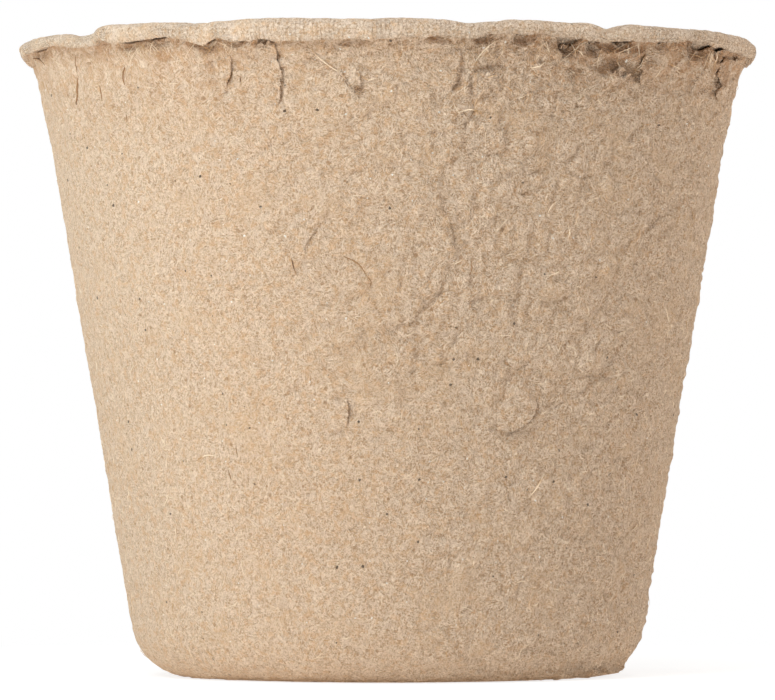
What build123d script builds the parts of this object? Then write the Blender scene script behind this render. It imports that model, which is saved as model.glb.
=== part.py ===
"""Round peat pot: a tapered cup of moulded peat and wood pulp, in two plies, with a flared lip.

The axis is +Z and the origin is the centre of the underside of the floor.  Bearings are degrees
round the axis: 0 faces -Y and 90 faces +X.  All sizes are in millimetres.
"""
import os
from math import cos, exp, radians, sin, tan

from build123d import *

# The cup.
pot_height = 94.0
base_radius = 36.9  # where the line of the wall meets the ground
wall_draft = 9.55  # degrees that the wall leans outwards
heel_radius = 8.5
outer_ply_thickness = 1.1
inner_ply_thickness = 0.9
floor_thickness = 2.0
drain_radius = 5.0

# The lip: a flange that flares out of the wall and droops at its edge.
lip_height = 6.0
lip_overhang = 3.0  # how far the edge stands out from the line of the wall
lip_edge_height = 2.7
lip_sections = 60  # radial sections in each half of the ring

# Slow waves of the lip: waves round the ring, height of the wave, bearing of a crest.
lip_waves = ((4, 0.15, 55.0), (7, 0.08, 20.0))
# Dips in the lip: bearing, depth.
lip_dips = (
    (-56.0, 0.70),
    (-29.5, 0.50),
    (13.4, 0.65),
    (38.0, 0.80),
    (104.0, 0.45),
    (150.0, 0.60),
    (196.0, 0.40),
    (262.0, 0.55),
)
lip_dip_spread = 4.5  # degrees
lip_outward_share = 0.6  # part of a wave that moves the edge in and out

# Flakes that hang from the lip: bearing, drop below the lip's seat, width, length, thickness, lean.
hanging_flakes = {
    "flap_far_right": (82.0, 3.1, 7.6, 5.6, 0.90, 20.0),
    "flap_right": (39.0, 3.4, 9.0, 6.0, 0.80, -12.0),
    "flake_top_right": (17.2, 4.8, 5.0, 6.4, 0.70, 8.0),
    "flap_top_centre": (8.0, 3.0, 4.4, 5.4, 0.60, 4.0),
    "fold_top_centre": (-7.0, 3.3, 5.0, 6.0, 0.70, 32.0),
    "flap_top_left": (-20.0, 3.4, 5.6, 6.2, 0.60, 6.0),
    "knot_top_left": (-27.0, 2.7, 3.4, 5.0, 0.60, 22.0),
    "tuft_far_left": (-82.0, 2.2, 4.6, 3.6, 0.60, -15.0),
}
# Flakes lower on the wall: bearing, share of the way up to the lip's seat, width, length, thickness, lean.
standing_flakes = {
    "ridge_upper": (9.6, 0.75, 3.6, 9.6, 0.60, -14.0),
    "ridge_centre": (3.4, 0.64, 8.6, 9.0, 0.60, 35.0),
    "flake_left_high": (-14.6, 0.72, 5.2, 6.6, 0.50, 28.0),
    "flake_right_high": (51.5, 0.766, 4.2, 6.4, 0.50, 30.0),
    "flake_right_mid": (23.6, 0.443, 8.4, 7.0, 0.80, -20.0),
    "flake_right_low": (43.2, 0.507, 4.6, 3.2, 0.45, 15.0),
    "flake_centre_low": (-9.8, 0.436, 3.8, 5.2, 0.60, 5.0),
    "chip_low": (16.0, 0.13, 3.2, 2.4, 0.45, -40.0),
}
# Flakes spread over the far side, one below the other.
back_flake_count = 9
back_flake_first_bearing = 116.0
back_flake_turn = 47.0  # degrees from one to the next
back_flake_span = 130.0  # degrees of the far side that hold them
back_flake_width = 5.0
back_flake_length = 6.0
back_flake_thickness = 0.6
back_flake_lean = 37.0  # degrees from one to the next

# How a flake is cut: its outline, and the slope of its edge.
flake_points = 9
flake_bulge = 0.16  # share of its size by which the outline swells and shrinks
flake_nick = 0.09  # the same for the smaller nicks
flake_edge_slope = 0.55  # inward step of the edge for each millimetre of thickness

# Long fibres that lie on the wall: bearing, share of the way up to the lip's seat, share of the length, lean.
fibres = (
    (-60.2, 0.960, 0.92, 3.0),
    (-46.9, 0.967, 0.52, 0.0),
    (-17.2, 0.655, 0.92, -14.0),
    (-6.0, 0.705, 0.92, -62.0),
    (31.0, 0.32, 0.80, 40.0),
    (64.0, 0.59, 1.00, -35.0),
    (-38.0, 0.375, 0.84, 58.0),
    (140.0, 0.545, 1.00, 24.0),
    (-130.0, 0.75, 1.00, -48.0),
)
fibre_length = 5.0
fibre_width = 0.45
fibre_thickness = 0.35

# Sizes that follow from those above.
wall_lean = tan(radians(wall_draft))
wall_thickness = outer_ply_thickness + inner_ply_thickness
heel_reach = heel_radius * tan(radians(90 - wall_draft) / 2)
floor_radius = base_radius - heel_reach
lip_seat = pot_height - lip_height
wall_width = wall_thickness / cos(radians(wall_draft))  # the wall's thickness along a radius


def wall_radius(height):
    """Radius of the outer face of the wall at a height."""
    return base_radius + height * wall_lean


def radial_plane(bearing):
    """Upright plane through the axis: x is outwards at the bearing and y is up."""
    east = sin(radians(bearing))
    north = -cos(radians(bearing))
    return Plane(origin=(0, 0, 0), x_dir=(east, north, 0), z_dir=(north, -east, 0))


def wall_plane(bearing, height, lean):
    """Plane on the outer face of the wall: x is to the right, y is up, turned by the lean."""
    east = sin(radians(bearing))
    north = -cos(radians(bearing))
    radius = wall_radius(height)
    outwards = (east, north, -wall_lean)
    upright = Plane(origin=(radius * east, radius * north, height), x_dir=(-north, east, 0), z_dir=outwards)
    return upright.rotated((0, 0, -lean))


def lip_rise(bearing):
    """How far the edge of the lip stands above its level at a bearing."""
    rise = sum(size * cos(count * radians(bearing - crest)) for count, size, crest in lip_waves)
    for middle, depth in lip_dips:
        turn = (bearing - middle + 180) % 360 - 180
        rise -= depth * exp(-((turn / lip_dip_spread) ** 2))
    return rise


def flake_outline(width, length, turn):
    """Points of an uneven closed outline with the given size, as (x, y)."""
    points = []
    for step in range(flake_points):
        angle = 360 * step / flake_points
        swell = 1 + flake_bulge * cos(radians(2 * angle + turn))
        swell += flake_nick * cos(radians(3 * angle - 2 * turn))
        points.append((swell * width / 2 * cos(radians(angle)), swell * length / 2 * sin(radians(angle))))
    return points


def cup_layer(thickness, side):
    """Layer of heel and wall, from the edge of the floor up to the seat of the lip.

    It lies on the outer face of the cup (Side.RIGHT) or goes inwards from that face (Side.LEFT).
    """
    with BuildPart() as layer:
        with BuildSketch(Plane.XZ):
            with BuildLine():
                heel = JernArc((floor_radius, 0), (1, 0), heel_radius, 90 - wall_draft)
                Line(heel @ 1, (wall_radius(pot_height), pot_height))
                offset(amount=thickness, side=side)
            make_face()
        revolve(axis=Axis.Z)
        split(bisect_by=Plane.XY.offset(lip_seat), keep=Keep.BOTTOM)
    return layer.part


def flake(bearing, height, width, length, thickness, lean):
    """Uneven flake of pulp that lies on the outer face of the wall, with a sloping edge."""
    plane = wall_plane(bearing, height, lean)
    slope = 2 * flake_edge_slope * thickness
    # The flake is cut from a block that goes as deep as the wall falls away beside it.
    depth = (width ** 2 + length ** 2) / (8 * base_radius) + thickness
    with BuildPart() as body:
        with BuildSketch(plane.offset(-depth)):
            with BuildLine():
                Spline(*flake_outline(width, length, bearing), periodic=True)
            make_face()
        with BuildSketch(plane.offset(2 * thickness)):
            with BuildLine():
                Spline(*flake_outline(width - slope, length - slope, bearing), periodic=True)
            make_face()
        loft()
        add(cup_layer(thickness, Side.RIGHT), mode=Mode.INTERSECT)
    return body.part


pieces = {}

# The floor is a disc inside the heel, with a drain hole.
with BuildPart() as floor:
    with BuildSketch():
        Circle(floor_radius)
        Circle(drain_radius, mode=Mode.SUBTRACT)
    extrude(amount=floor_thickness)
pieces["floor"] = floor.part

# The felt side of the wall, from the floor round the heel and up to the lip.
pieces["outer_ply"] = cup_layer(outer_ply_thickness, Side.LEFT)

# The screen side of the wall lies against the felt side.
with BuildPart() as inner_ply:
    add(cup_layer(wall_thickness, Side.LEFT))
    add(pieces["outer_ply"], mode=Mode.SUBTRACT)
pieces["inner_ply"] = inner_ply.part

# The lip is lofted through radial sections; its seat is level and its edge follows the waves.
seat_outer = wall_radius(lip_seat)
seat_inner = seat_outer - wall_width
edge_radius = wall_radius(pot_height) + lip_overhang - lip_height * wall_lean
edge_low = pot_height - lip_edge_height
# Points from the inside of the seat over the top to the outside: radius, height, share of the wave.
lip_shape = (
    (seat_inner + 0.15 * lip_overhang, lip_seat + 0.40 * lip_height, 0.25),
    (seat_inner + 0.55 * lip_overhang, lip_seat + 0.80 * lip_height, 0.60),
    (edge_radius - 0.62 * lip_edge_height, pot_height, 1.0),
    (edge_radius - 0.10 * lip_edge_height, pot_height - 0.40 * lip_edge_height, 1.0),
    (edge_radius, edge_low + 0.15 * lip_edge_height, 1.0),
    (edge_radius - 0.30 * lip_edge_height, edge_low, 0.9),
    (seat_outer + 0.36 * lip_overhang, lip_seat + 0.36 * lip_height, 0.30),
)
with BuildPart() as lip:
    for half in (0, 180):
        for step in range(lip_sections + 1):
            bearing = half + 180 * step / lip_sections
            rise = lip_rise(bearing)
            bend = [(r + lip_outward_share * share * rise, z + share * rise) for r, z, share in lip_shape]
            with BuildSketch(radial_plane(bearing)):
                with BuildLine():
                    Line((seat_outer, lip_seat), (seat_inner, lip_seat))
                    Spline((seat_inner, lip_seat), *bend, (seat_outer, lip_seat))
                make_face()
        loft()
pieces["lip"] = lip.part

for name, (bearing, drop, width, length, thickness, lean) in hanging_flakes.items():
    pieces[name] = flake(bearing, lip_seat - drop, width, length, thickness, lean)
for name, (bearing, share, width, length, thickness, lean) in standing_flakes.items():
    pieces[name] = flake(bearing, share * lip_seat, width, length, thickness, lean)

# Flakes of the far side, kept clear of the heel and of the lip.
back_low = heel_radius + back_flake_length
back_high = lip_seat - back_flake_length
with BuildPart() as back_flakes:
    for step in range(back_flake_count):
        bearing = back_flake_first_bearing + step * back_flake_turn % back_flake_span
        height = back_low + (back_high - back_low) * step / (back_flake_count - 1)
        lean = step * back_flake_lean
        add(flake(bearing, height, back_flake_width, back_flake_length, back_flake_thickness, lean))
pieces["back_flakes"] = back_flakes.part

# The fibres are thin bars laid on the wall.
with BuildPart() as coarse_fibres:
    for bearing, share, length_share, lean in fibres:
        with BuildSketch(wall_plane(bearing, share * lip_seat, lean)):
            SlotOverall(length_share * fibre_length, fibre_width, rotation=90)
    extrude(amount=2 * fibre_thickness, both=True)
    add(cup_layer(fibre_thickness, Side.RIGHT), mode=Mode.INTERSECT)
pieces["coarse_fibres"] = coarse_fibres.part

os.makedirs("parts", exist_ok=True)
for name, piece in pieces.items():
    piece.label = name
    export_step(piece, f"parts/{name}.step")
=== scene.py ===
"""Looks of a round peat pot: felted pulp wall, screen-marked inside, torn lip, flakes, folds and fibres.

Sizes are in metres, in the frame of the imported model: +Z up, -Y towards the viewer, +X to the viewer's
right.  Bearings are degrees round the axis: 0 faces -Y and 90 faces +X.  Tables of marks on the pot give
sizes in millimetres.
"""
import logging
import math
import random
from dataclasses import dataclass
from enum import Enum

import bmesh
import bpy
import numpy as np
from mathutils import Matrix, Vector, noise
from mathutils.bvhtree import BVHTree


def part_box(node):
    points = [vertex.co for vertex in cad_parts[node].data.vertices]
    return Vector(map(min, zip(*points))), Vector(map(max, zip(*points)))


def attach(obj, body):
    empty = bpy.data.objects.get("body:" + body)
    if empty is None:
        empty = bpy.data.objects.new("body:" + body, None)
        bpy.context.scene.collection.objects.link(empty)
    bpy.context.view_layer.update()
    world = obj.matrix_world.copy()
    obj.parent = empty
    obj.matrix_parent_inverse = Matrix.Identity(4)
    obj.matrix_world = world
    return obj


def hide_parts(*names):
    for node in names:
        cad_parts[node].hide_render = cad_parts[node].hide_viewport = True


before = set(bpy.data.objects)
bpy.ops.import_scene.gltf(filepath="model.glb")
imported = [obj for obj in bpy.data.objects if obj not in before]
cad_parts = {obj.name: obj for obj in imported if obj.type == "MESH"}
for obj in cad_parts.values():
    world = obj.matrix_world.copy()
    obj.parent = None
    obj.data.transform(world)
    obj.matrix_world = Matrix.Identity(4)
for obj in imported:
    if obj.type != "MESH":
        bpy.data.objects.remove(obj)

LOG = logging.getLogger("peat_pot")
MM = 0.001
BODY = "root"
PULP_MAP = "pulp"
ALONG = "along"
TORN_AND_SHADE = "torn"
COARSE = "coarse"

Colour = tuple[float, float, float]
Route = tuple[tuple[float, float], ...]
Profile = list[tuple[float, float]]
Socket = bpy.types.NodeSocket


class Edge(Enum):
    """Direction in which a flake stands free of the wall, in degrees from the right, turning upwards."""

    RIGHT = 0.0
    UPPER = 90.0
    UPPER_LEFT = 135.0
    LEFT = 180.0
    LOWER_LEFT = 225.0
    LOWER = 270.0
    LOWER_RIGHT = 315.0


class Lump(Enum):
    """How the lumps of a relief meet: in soft hollows or in sharp creases."""

    SOFT = "SOFT_NOISE"
    CREASED = "HARD_NOISE"

    @property
    def level(self) -> float:
        """Value of the noise at which a surface stays in place."""
        return 0.5 if self is Lump.SOFT else 0.3


class Slot(Enum):
    """Material slots of the record."""

    FELT = "felt_side"
    SCREEN = "screen_side"
    LIP = "lip_pulp"
    FLOOR = "floor_pulp"
    FLAKE = "flake_pulp"
    FIBRE = "fibre"


@dataclass(frozen=True)
class PotShape:
    """Driving sizes of the cup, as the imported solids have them."""

    height: float = 94.0 * MM
    base_radius: float = 36.9 * MM
    draft: float = math.radians(9.55)
    heel_radius: float = 8.5 * MM
    outer_ply: float = 1.1 * MM
    wall: float = 2.0 * MM
    floor_radius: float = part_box("floor")[1].x
    floor_thickness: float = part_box("floor")[1].z
    drain_radius: float = 5.0 * MM
    seat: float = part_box("outer_ply")[1].z
    lip_overhang: float = 3.0 * MM

    @property
    def edge_radius(self) -> float:
        """Radius of the lip's edge."""
        return self.wall_radius(self.seat) + self.lip_overhang

    def wall_radius(self, height: float) -> float:
        """Radius of the outer face of the wall at a height."""
        return self.base_radius + height * math.tan(self.draft)

    def inner_radius(self, height: float) -> float:
        """Radius of the inner face of the wall at a height."""
        return self.wall_radius(height) - self.wall / math.cos(self.draft)

    def heel_point(self, turn: float, depth: float) -> tuple[float, float]:
        """Point of the heel's arc.

        Args:
            turn: Angle of the arc in radians, from straight down at 0 to level at a right angle.
            depth: Distance inwards from the outer face.

        Returns:
            Radius and height of the point.
        """
        reach = self.heel_radius - depth
        return self.floor_radius + reach * math.sin(turn), self.heel_radius - reach * math.cos(turn)


POT = PotShape()
MIDDLE_RADIUS = POT.wall_radius(0.5 * POT.height)


def turned(bearing: np.ndarray, middle: float) -> np.ndarray:
    """Bearings counted from a middle one, from -180 to 180."""
    return (bearing - middle + 180.0) % 360.0 - 180.0


def smooth(low: float, high: float, value: np.ndarray) -> np.ndarray:
    """Smooth step from 0 at the low value to 1 at the high one."""
    share = np.clip((value - low) / (high - low), 0.0, 1.0)
    return share * share * (3.0 - 2.0 * share)


def bell(away: np.ndarray, spread: float) -> np.ndarray:
    """Bell curve: 1 at no distance, fading over the spread."""
    return np.exp(-((away / spread) ** 2))


def away_from_axis(bearing: float) -> Vector:
    """Level direction outwards at a bearing in degrees."""
    turn = math.radians(bearing)
    return Vector((math.sin(turn), -math.cos(turn), 0.0))


def ripple(bearing: np.ndarray, rate: float, seed: float) -> np.ndarray:
    """Smooth random values between -1 and 1 round the ring, with about `rate` swells in each degree."""
    reach = rate * 57.3
    turn = np.radians(bearing)
    rows = zip(reach * np.sin(turn), reach * np.cos(turn))
    return np.array([noise.noise((x, y, seed)) for x, y in rows])


def lip_rise(bearing: np.ndarray) -> np.ndarray:
    """Height of the lip's edge above its level.

    Args:
        bearing: Bearings in degrees.

    Returns:
        Rise in metres, one for each bearing.
    """
    # Number of waves round the ring, height, bearing of a crest.
    waves = ((4, 0.15, 55.0), (7, 0.08, 20.0))
    # Bearing, depth and spread of each dip.
    dips = (
        (-55.6, 0.58, 4.5),
        (-29.5, 0.45, 4.5),
        (13.4, 0.52, 4.5),
        (28.0, 0.30, 7.0),
        (35.6, 0.75, 2.4),
        (104.0, 0.45, 4.5),
        (150.0, 0.60, 4.5),
        (196.0, 0.40, 4.5),
        (262.0, 0.55, 4.5),
    )
    rise = sum(size * np.cos(np.radians(count * (bearing - crest))) for count, size, crest in waves)
    for middle, depth, spread in dips:
        rise = rise - depth * bell(turned(bearing, middle), spread)
    fold = turned(bearing, -50.2)
    rise = rise + 0.32 * np.tanh(fold / 0.9) * bell(fold, 4.0)
    return rise * MM


def lip_depth(bearing: np.ndarray) -> np.ndarray:
    """Height of the lip's face, from its top down to its torn lower edge.

    Args:
        bearing: Bearings in degrees.

    Returns:
        Height in metres, one for each bearing.
    """
    # Bearing and height of the face.
    keys = (
        (-120.0, 2.5), (-90.0, 1.9), (-79.0, 2.1), (-65.0, 1.8), (-50.0, 2.1), (-45.0, 2.8), (-42.7, 2.5),
        (-32.5, 2.4), (-28.6, 3.2), (-26.4, 2.4), (-23.8, 3.3), (-19.5, 3.0), (-13.0, 3.2), (-8.5, 2.9),
        (-3.0, 2.9), (2.0, 2.7), (7.0, 2.5), (12.6, 2.4), (15.3, 1.6), (17.3, 1.7), (21.0, 2.2),
        (23.5, 1.7), (26.6, 2.2), (32.5, 2.3), (36.0, 2.0), (39.0, 2.4), (41.5, 2.7), (47.0, 2.4),
        (54.3, 1.8), (57.6, 2.1), (68.7, 2.9), (82.0, 2.5), (110.0, 2.7), (135.0, 2.1), (160.0, 2.9),
        (185.0, 2.3), (210.0, 2.8),
    )
    turns, depths = zip(*keys)
    torn = 0.14 * ripple(bearing, 0.30, 3.0) + 0.10 * ripple(bearing, 1.1, 7.0)
    return (np.interp(bearing, turns, depths, period=360.0) + torn) * MM


def coarseness(bearing: np.ndarray) -> np.ndarray:
    """How coarse the pulp is, from 0 to 1: least on the left and most on the right."""
    right = smooth(-30.0, 40.0, bearing) * smooth(180.0, 120.0, bearing)
    return right + 0.5 * smooth(100.0, 170.0, np.abs(bearing))


def torn_and_shade_share(bearing: np.ndarray, height: np.ndarray) -> np.ndarray:
    """Share of torn brown tone, partly torn pulp and partly painted shade under the lip: most under the
    lip, and further down on the right.

    Args:
        bearing: Bearing of each point.
        height: Height of each point.

    Returns:
        Share from 0 to 1, one for each point.
    """
    # A band just under the lip, a wide zone on the left and a deeper one on the right, each partly painted
    # shade under the lip.
    below = np.maximum((POT.height - 2.8 * MM - height) / MM, 0.0)
    right = smooth(14.0, 32.0, bearing) * smooth(92.0, 76.0, bearing)
    left = smooth(-12.0, -34.0, bearing) * smooth(-120.0, -95.0, bearing)
    return 0.50 * left * bell(below, 9.5) + 0.50 * bell(below, 1.6) + 0.95 * right * bell(below, 5.6)


def polar(places: np.ndarray) -> tuple[np.ndarray, np.ndarray, np.ndarray]:
    """Bearing in degrees, radius and height of each point."""
    bearing = np.degrees(np.arctan2(places[:, 0], -places[:, 1]))
    return bearing, np.hypot(places[:, 0], places[:, 1]), places[:, 2]


def from_polar(bearing: np.ndarray, radius: np.ndarray, height: np.ndarray) -> np.ndarray:
    """Places of points given by bearing in degrees, radius and height."""
    turn = np.radians(bearing)
    return np.stack([radius * np.sin(turn), -radius * np.cos(turn), height], 1)


def smooth_line(keys: np.ndarray, spacing: float) -> np.ndarray:
    """Evenly divided smooth line through key points.

    Args:
        keys: One row for each key point; the first two columns are its place.
        spacing: Distance between the new points.

    Returns:
        One row for each new point, with the same columns.
    """
    padded = np.vstack([2 * keys[0] - keys[1], keys, 2 * keys[-1] - keys[-2]])
    rows = []
    for before, first, last, after in zip(padded, padded[1:], padded[2:], padded[3:]):
        count = max(1, round(np.hypot(*(last - first)[:2]) / spacing))
        for step in range(count):
            t = step / count
            bend = 2 * before - 5 * first + 4 * last - after
            swing = 3 * (first - last) + after - before
            rows.append(first + 0.5 * t * (last - before + t * (bend + t * swing)))
    return np.array(rows + [keys[-1]])


class Bench:
    """Modelling steps that every piece shares."""

    @staticmethod
    def clear() -> None:
        """Leaves edit mode and deselects everything."""
        if bpy.context.mode != "OBJECT":
            bpy.ops.object.mode_set(mode="OBJECT")
        bpy.ops.object.select_all(action="DESELECT")

    @staticmethod
    def pick(piece: bpy.types.Object) -> None:
        """Makes one piece the only selected one and the active one."""
        Bench.clear()
        piece.select_set(True)
        bpy.context.view_layer.objects.active = piece

    @staticmethod
    def spun_shell(name: str, profile: Profile, steps: int) -> bpy.types.Object:
        """Closed ring made by turning a closed profile round the pot's axis.

        Args:
            name: Name of the piece.
            profile: Radius and height of each point, in order round the section.
            steps: Columns round the ring.

        Returns:
            The new object, with the distance along the profile in the attribute ALONG.
        """
        Bench.clear()
        bpy.ops.mesh.primitive_plane_add(size=MM)
        piece = bpy.context.object
        piece.name = piece.data.name = name
        bpy.ops.object.mode_set(mode="EDIT")
        bpy.ops.mesh.select_mode(type="VERT")
        bpy.ops.mesh.select_all(action="SELECT")
        bpy.ops.mesh.merge(type="CENTER")
        corners = [Vector((0.0, -radius, height)) for radius, height in profile]
        bpy.ops.transform.translate(value=corners[0])
        for before, after in zip(corners, corners[1:]):
            bpy.ops.mesh.extrude_region_move(TRANSFORM_OT_translate={"value": after - before})
        bpy.ops.object.mode_set(mode="OBJECT")
        steps_along = [0.0] + [(after - before).length for before, after in zip(corners, corners[1:])]
        along = piece.data.attributes.new(ALONG, "FLOAT", "POINT")
        along.data.foreach_set("value", np.cumsum(steps_along).astype(np.float32))
        bpy.ops.object.mode_set(mode="EDIT")
        Bench.select_points(piece, [0, len(corners) - 1])
        bpy.ops.mesh.edge_face_add()
        bpy.ops.object.mode_set(mode="OBJECT")
        turn = piece.modifiers.new("turn", "SCREW")
        turn.axis = "Z"
        turn.angle = math.tau
        turn.steps = turn.render_steps = steps
        turn.use_merge_vertices = True
        turn.merge_threshold = 0.001 * MM
        Bench.apply_modifiers(piece)
        bpy.ops.object.mode_set(mode="EDIT")
        bpy.ops.mesh.select_all(action="SELECT")
        bpy.ops.mesh.remove_doubles(threshold=0.001 * MM)
        bpy.ops.mesh.normals_make_consistent(inside=False)
        bpy.ops.object.mode_set(mode="OBJECT")
        return piece

    @staticmethod
    def select_points(piece: bpy.types.Object, chosen: list[int]) -> None:
        """Selects points of the piece in edit mode, by index."""
        bpy.ops.mesh.select_all(action="DESELECT")
        shape = bmesh.from_edit_mesh(piece.data)
        shape.verts.ensure_lookup_table()
        for index in chosen:
            shape.verts[index].select = True
        shape.select_flush(True)
        bmesh.update_edit_mesh(piece.data)

    @staticmethod
    def apply_modifiers(piece: bpy.types.Object) -> None:
        """Applies every modifier of the piece, in order."""
        Bench.pick(piece)
        for modifier in list(piece.modifiers):
            bpy.ops.object.modifier_apply(modifier=modifier.name)

    @staticmethod
    def points(piece: bpy.types.Object) -> np.ndarray:
        """Places of the piece's points, one row each."""
        flat = np.empty(len(piece.data.vertices) * 3, np.float32)
        piece.data.vertices.foreach_get("co", flat)
        return flat.reshape(-1, 3).astype(float)

    @staticmethod
    def move_points(piece: bpy.types.Object, places: np.ndarray) -> None:
        """Puts the piece's points at new places."""
        piece.data.vertices.foreach_set("co", places.astype(np.float32).ravel())
        piece.data.update()

    @staticmethod
    def along(piece: bpy.types.Object) -> np.ndarray:
        """Distance along the section, one for each point."""
        values = np.empty(len(piece.data.vertices), np.float32)
        piece.data.attributes[ALONG].data.foreach_get("value", values)
        return values.astype(float)

    @staticmethod
    def paint(piece: bpy.types.Object, name: str, values: np.ndarray) -> None:
        """Stores one value for each point, which the finish reads by its name."""
        layer = piece.data.attributes.new(name, "FLOAT", "POINT")
        layer.data.foreach_set("value", values.astype(np.float32))

    @staticmethod
    def weigh(piece: bpy.types.Object, name: str, weights: np.ndarray) -> None:
        """Adds a vertex group with a weight for every point, in steps of a twentieth."""
        group = piece.vertex_groups.new(name=name)
        levels = np.round(np.clip(weights, 0.0, 1.0) * 20).astype(int)
        for level in np.unique(levels):
            group.add(np.flatnonzero(levels == level).tolist(), level / 20, "REPLACE")

    @staticmethod
    def lay_map(piece: bpy.types.Object, across: np.ndarray, up: np.ndarray, full_turn: float) -> None:
        """Lays the UV map that the pulp patterns follow, in metres.

        Args:
            piece: Piece to map.
            across: Distance round the ring, one for each point.
            up: Distance up the section, one for each point.
            full_turn: Length of the whole ring, or 0 for a piece that doesn't close.
        """
        mesh = piece.data
        corner_point = np.empty(len(mesh.loops), np.int32)
        mesh.loops.foreach_get("vertex_index", corner_point)
        first = np.empty(len(mesh.polygons), np.int32)
        mesh.polygons.foreach_get("loop_start", first)
        right = across[corner_point]
        if full_turn:
            count = np.diff(np.append(first, len(corner_point)))
            highest = np.repeat(np.maximum.reduceat(right, first), count)
            right = np.where(highest - right > 0.5 * full_turn, right + full_turn, right)
        layer = mesh.uv_layers.new(name=PULP_MAP)
        layer.uv.foreach_set("vector", np.stack([right, up[corner_point]], 1).astype(np.float32).ravel())

    @staticmethod
    def wrap_map(piece: bpy.types.Object, radius: float, up: np.ndarray) -> None:
        """Lays the UV map round the axis, as long as it is at a radius."""
        bearing, _, _ = polar(Bench.points(piece))
        Bench.lay_map(piece, np.radians(bearing) * radius, up, math.tau * radius)

    @staticmethod
    def finish(piece: bpy.types.Object, material: bpy.types.Material, slot: Slot, *nodes: str) -> None:
        """Dresses a piece, hangs it on the body and hides the frame nodes that it stands for.

        Args:
            piece: The finished piece.
            material: Its finish.
            slot: The record's slot that the finish belongs to; not used.
            nodes: Frame nodes that the piece replaces.
        """
        piece.data.materials.clear()
        piece.data.materials.append(material)
        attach(piece, BODY)
        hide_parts(*nodes)
        LOG.info("%s: %d faces", piece.name, len(piece.data.polygons))

    @staticmethod
    def shade_smooth(piece: bpy.types.Object) -> None:
        """Shades the whole piece smooth."""
        Bench.pick(piece)
        bpy.ops.object.shade_smooth()


@dataclass(frozen=True)
class Relief:
    """Cloudy relief, in millimetres: size of a lump, height from the deepest hollow to the highest lump."""

    size: float
    height: float
    form: Lump = Lump.SOFT
    group: str = ""

    def add(self, piece: bpy.types.Object) -> None:
        """Adds the relief to a piece as a modifier, held to the vertex group if there is one."""
        cloud = bpy.data.textures.new(f"{piece.name}_lumps", "CLOUDS")
        cloud.noise_basis = "IMPROVED_PERLIN"
        cloud.noise_type = self.form.value
        cloud.noise_scale = self.size * MM
        cloud.noise_depth = 2
        relief = piece.modifiers.new("lumps", "DISPLACE")
        relief.texture = cloud
        relief.texture_coords = "LOCAL"
        relief.strength = self.height * MM
        relief.mid_level = self.form.level
        relief.vertex_group = self.group


class NodeBench:
    """Short ways to add shader nodes to one material or world."""

    def __init__(self, owner: bpy.types.Material | bpy.types.World) -> None:
        """Starts with no nodes."""
        owner.use_nodes = True
        self.owner = owner
        self.tree = owner.node_tree
        self.tree.nodes.clear()

    def add(self, kind: str, inputs: dict[str | int, object], **settings: object) -> bpy.types.Node:
        """Adds a node.

        Args:
            kind: Node type, without its ShaderNode prefix.
            inputs: Values or sockets for its inputs, by name or number.
            settings: Attributes of the node.

        Returns:
            The new node.
        """
        node = self.tree.nodes.new(f"ShaderNode{kind}")
        for key, value in settings.items():
            setattr(node, key, value)
        for key, value in inputs.items():
            if isinstance(value, Socket):
                self.tree.links.new(value, node.inputs[key])
            else:
                node.inputs[key].default_value = value
        return node

    def math(self, operation: str, a: object, b: object = 0.0, c: object = 0.0) -> Socket:
        """Result of a Math node."""
        return self.add("Math", {0: a, 1: b, 2: c}, operation=operation).outputs[0]

    def vector(self, operation: str, a: object, b: object, c: object = (0.0, 0.0, 0.0)) -> Socket:
        """Result of a Vector Math node."""
        return self.add("VectorMath", {0: a, 1: b, 2: c}, operation=operation).outputs[0]

    def step(self, value: object, low: float, high: float) -> Socket:
        """Smooth step of a value from 0 at low to 1 at high."""
        inputs = {"Value": value, "From Min": low, "From Max": high}
        return self.add("MapRange", inputs, interpolation_type="SMOOTHSTEP").outputs["Result"]

    def blend(self, share: object, below: object, above: object) -> Socket:
        """Colour mixed from one below and one above."""
        return self.add("Mix", {0: share, 6: below, 7: above}, data_type="RGBA").outputs[2]

    def noise(self, place: object, size: float, detail: float) -> Socket:
        """Noise with features of the given size in metres."""
        inputs = {"Vector": place, "Scale": 1.0 / size, "Detail": detail, "Roughness": 0.6}
        return self.add("TexNoise", inputs).outputs["Fac"]


@dataclass(frozen=True)
class FibreField:
    """Matted fibres: each patch of the surface has its own run of short streaks."""

    patch: float
    length: float
    width: float
    shift: Colour

    def draw(self, bench: NodeBench, place: Socket) -> Socket:
        """Draws the fibres.

        Args:
            bench: Node bench of the material.
            place: Coordinates in metres on the surface.

        Returns:
            Socket with about 0.5 between fibres, more on a fibre and less beside it.
        """
        scaled = bench.vector("MULTIPLY_ADD", place, (1.0 / self.patch,) * 3, self.shift)
        cells = bench.add("TexVoronoi", {"Vector": scaled, "Scale": 1.0}, voronoi_dimensions="2D")
        away = bench.vector("SUBTRACT", scaled, cells.outputs["Position"])
        chance = bench.add("SeparateColor", {0: cells.outputs["Color"]})
        turn = bench.math("MULTIPLY", chance.outputs[0], math.tau)
        inputs = {"Vector": away, "Angle": turn}
        spun = bench.add("VectorRotate", inputs, rotation_type="Z_AXIS").outputs[0]
        start = bench.vector("MULTIPLY", cells.outputs["Color"], (40.0, 40.0, 0.0))
        stretch = (self.patch / self.length, self.patch / self.width, 0.0)
        streak = bench.vector("MULTIPLY_ADD", spun, stretch, start)
        inputs = {"Vector": streak, "Scale": 1.0, "Detail": 1.0, "Roughness": 0.5}
        return bench.add("TexNoise", inputs, noise_dimensions="2D").outputs["Fac"]


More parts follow.
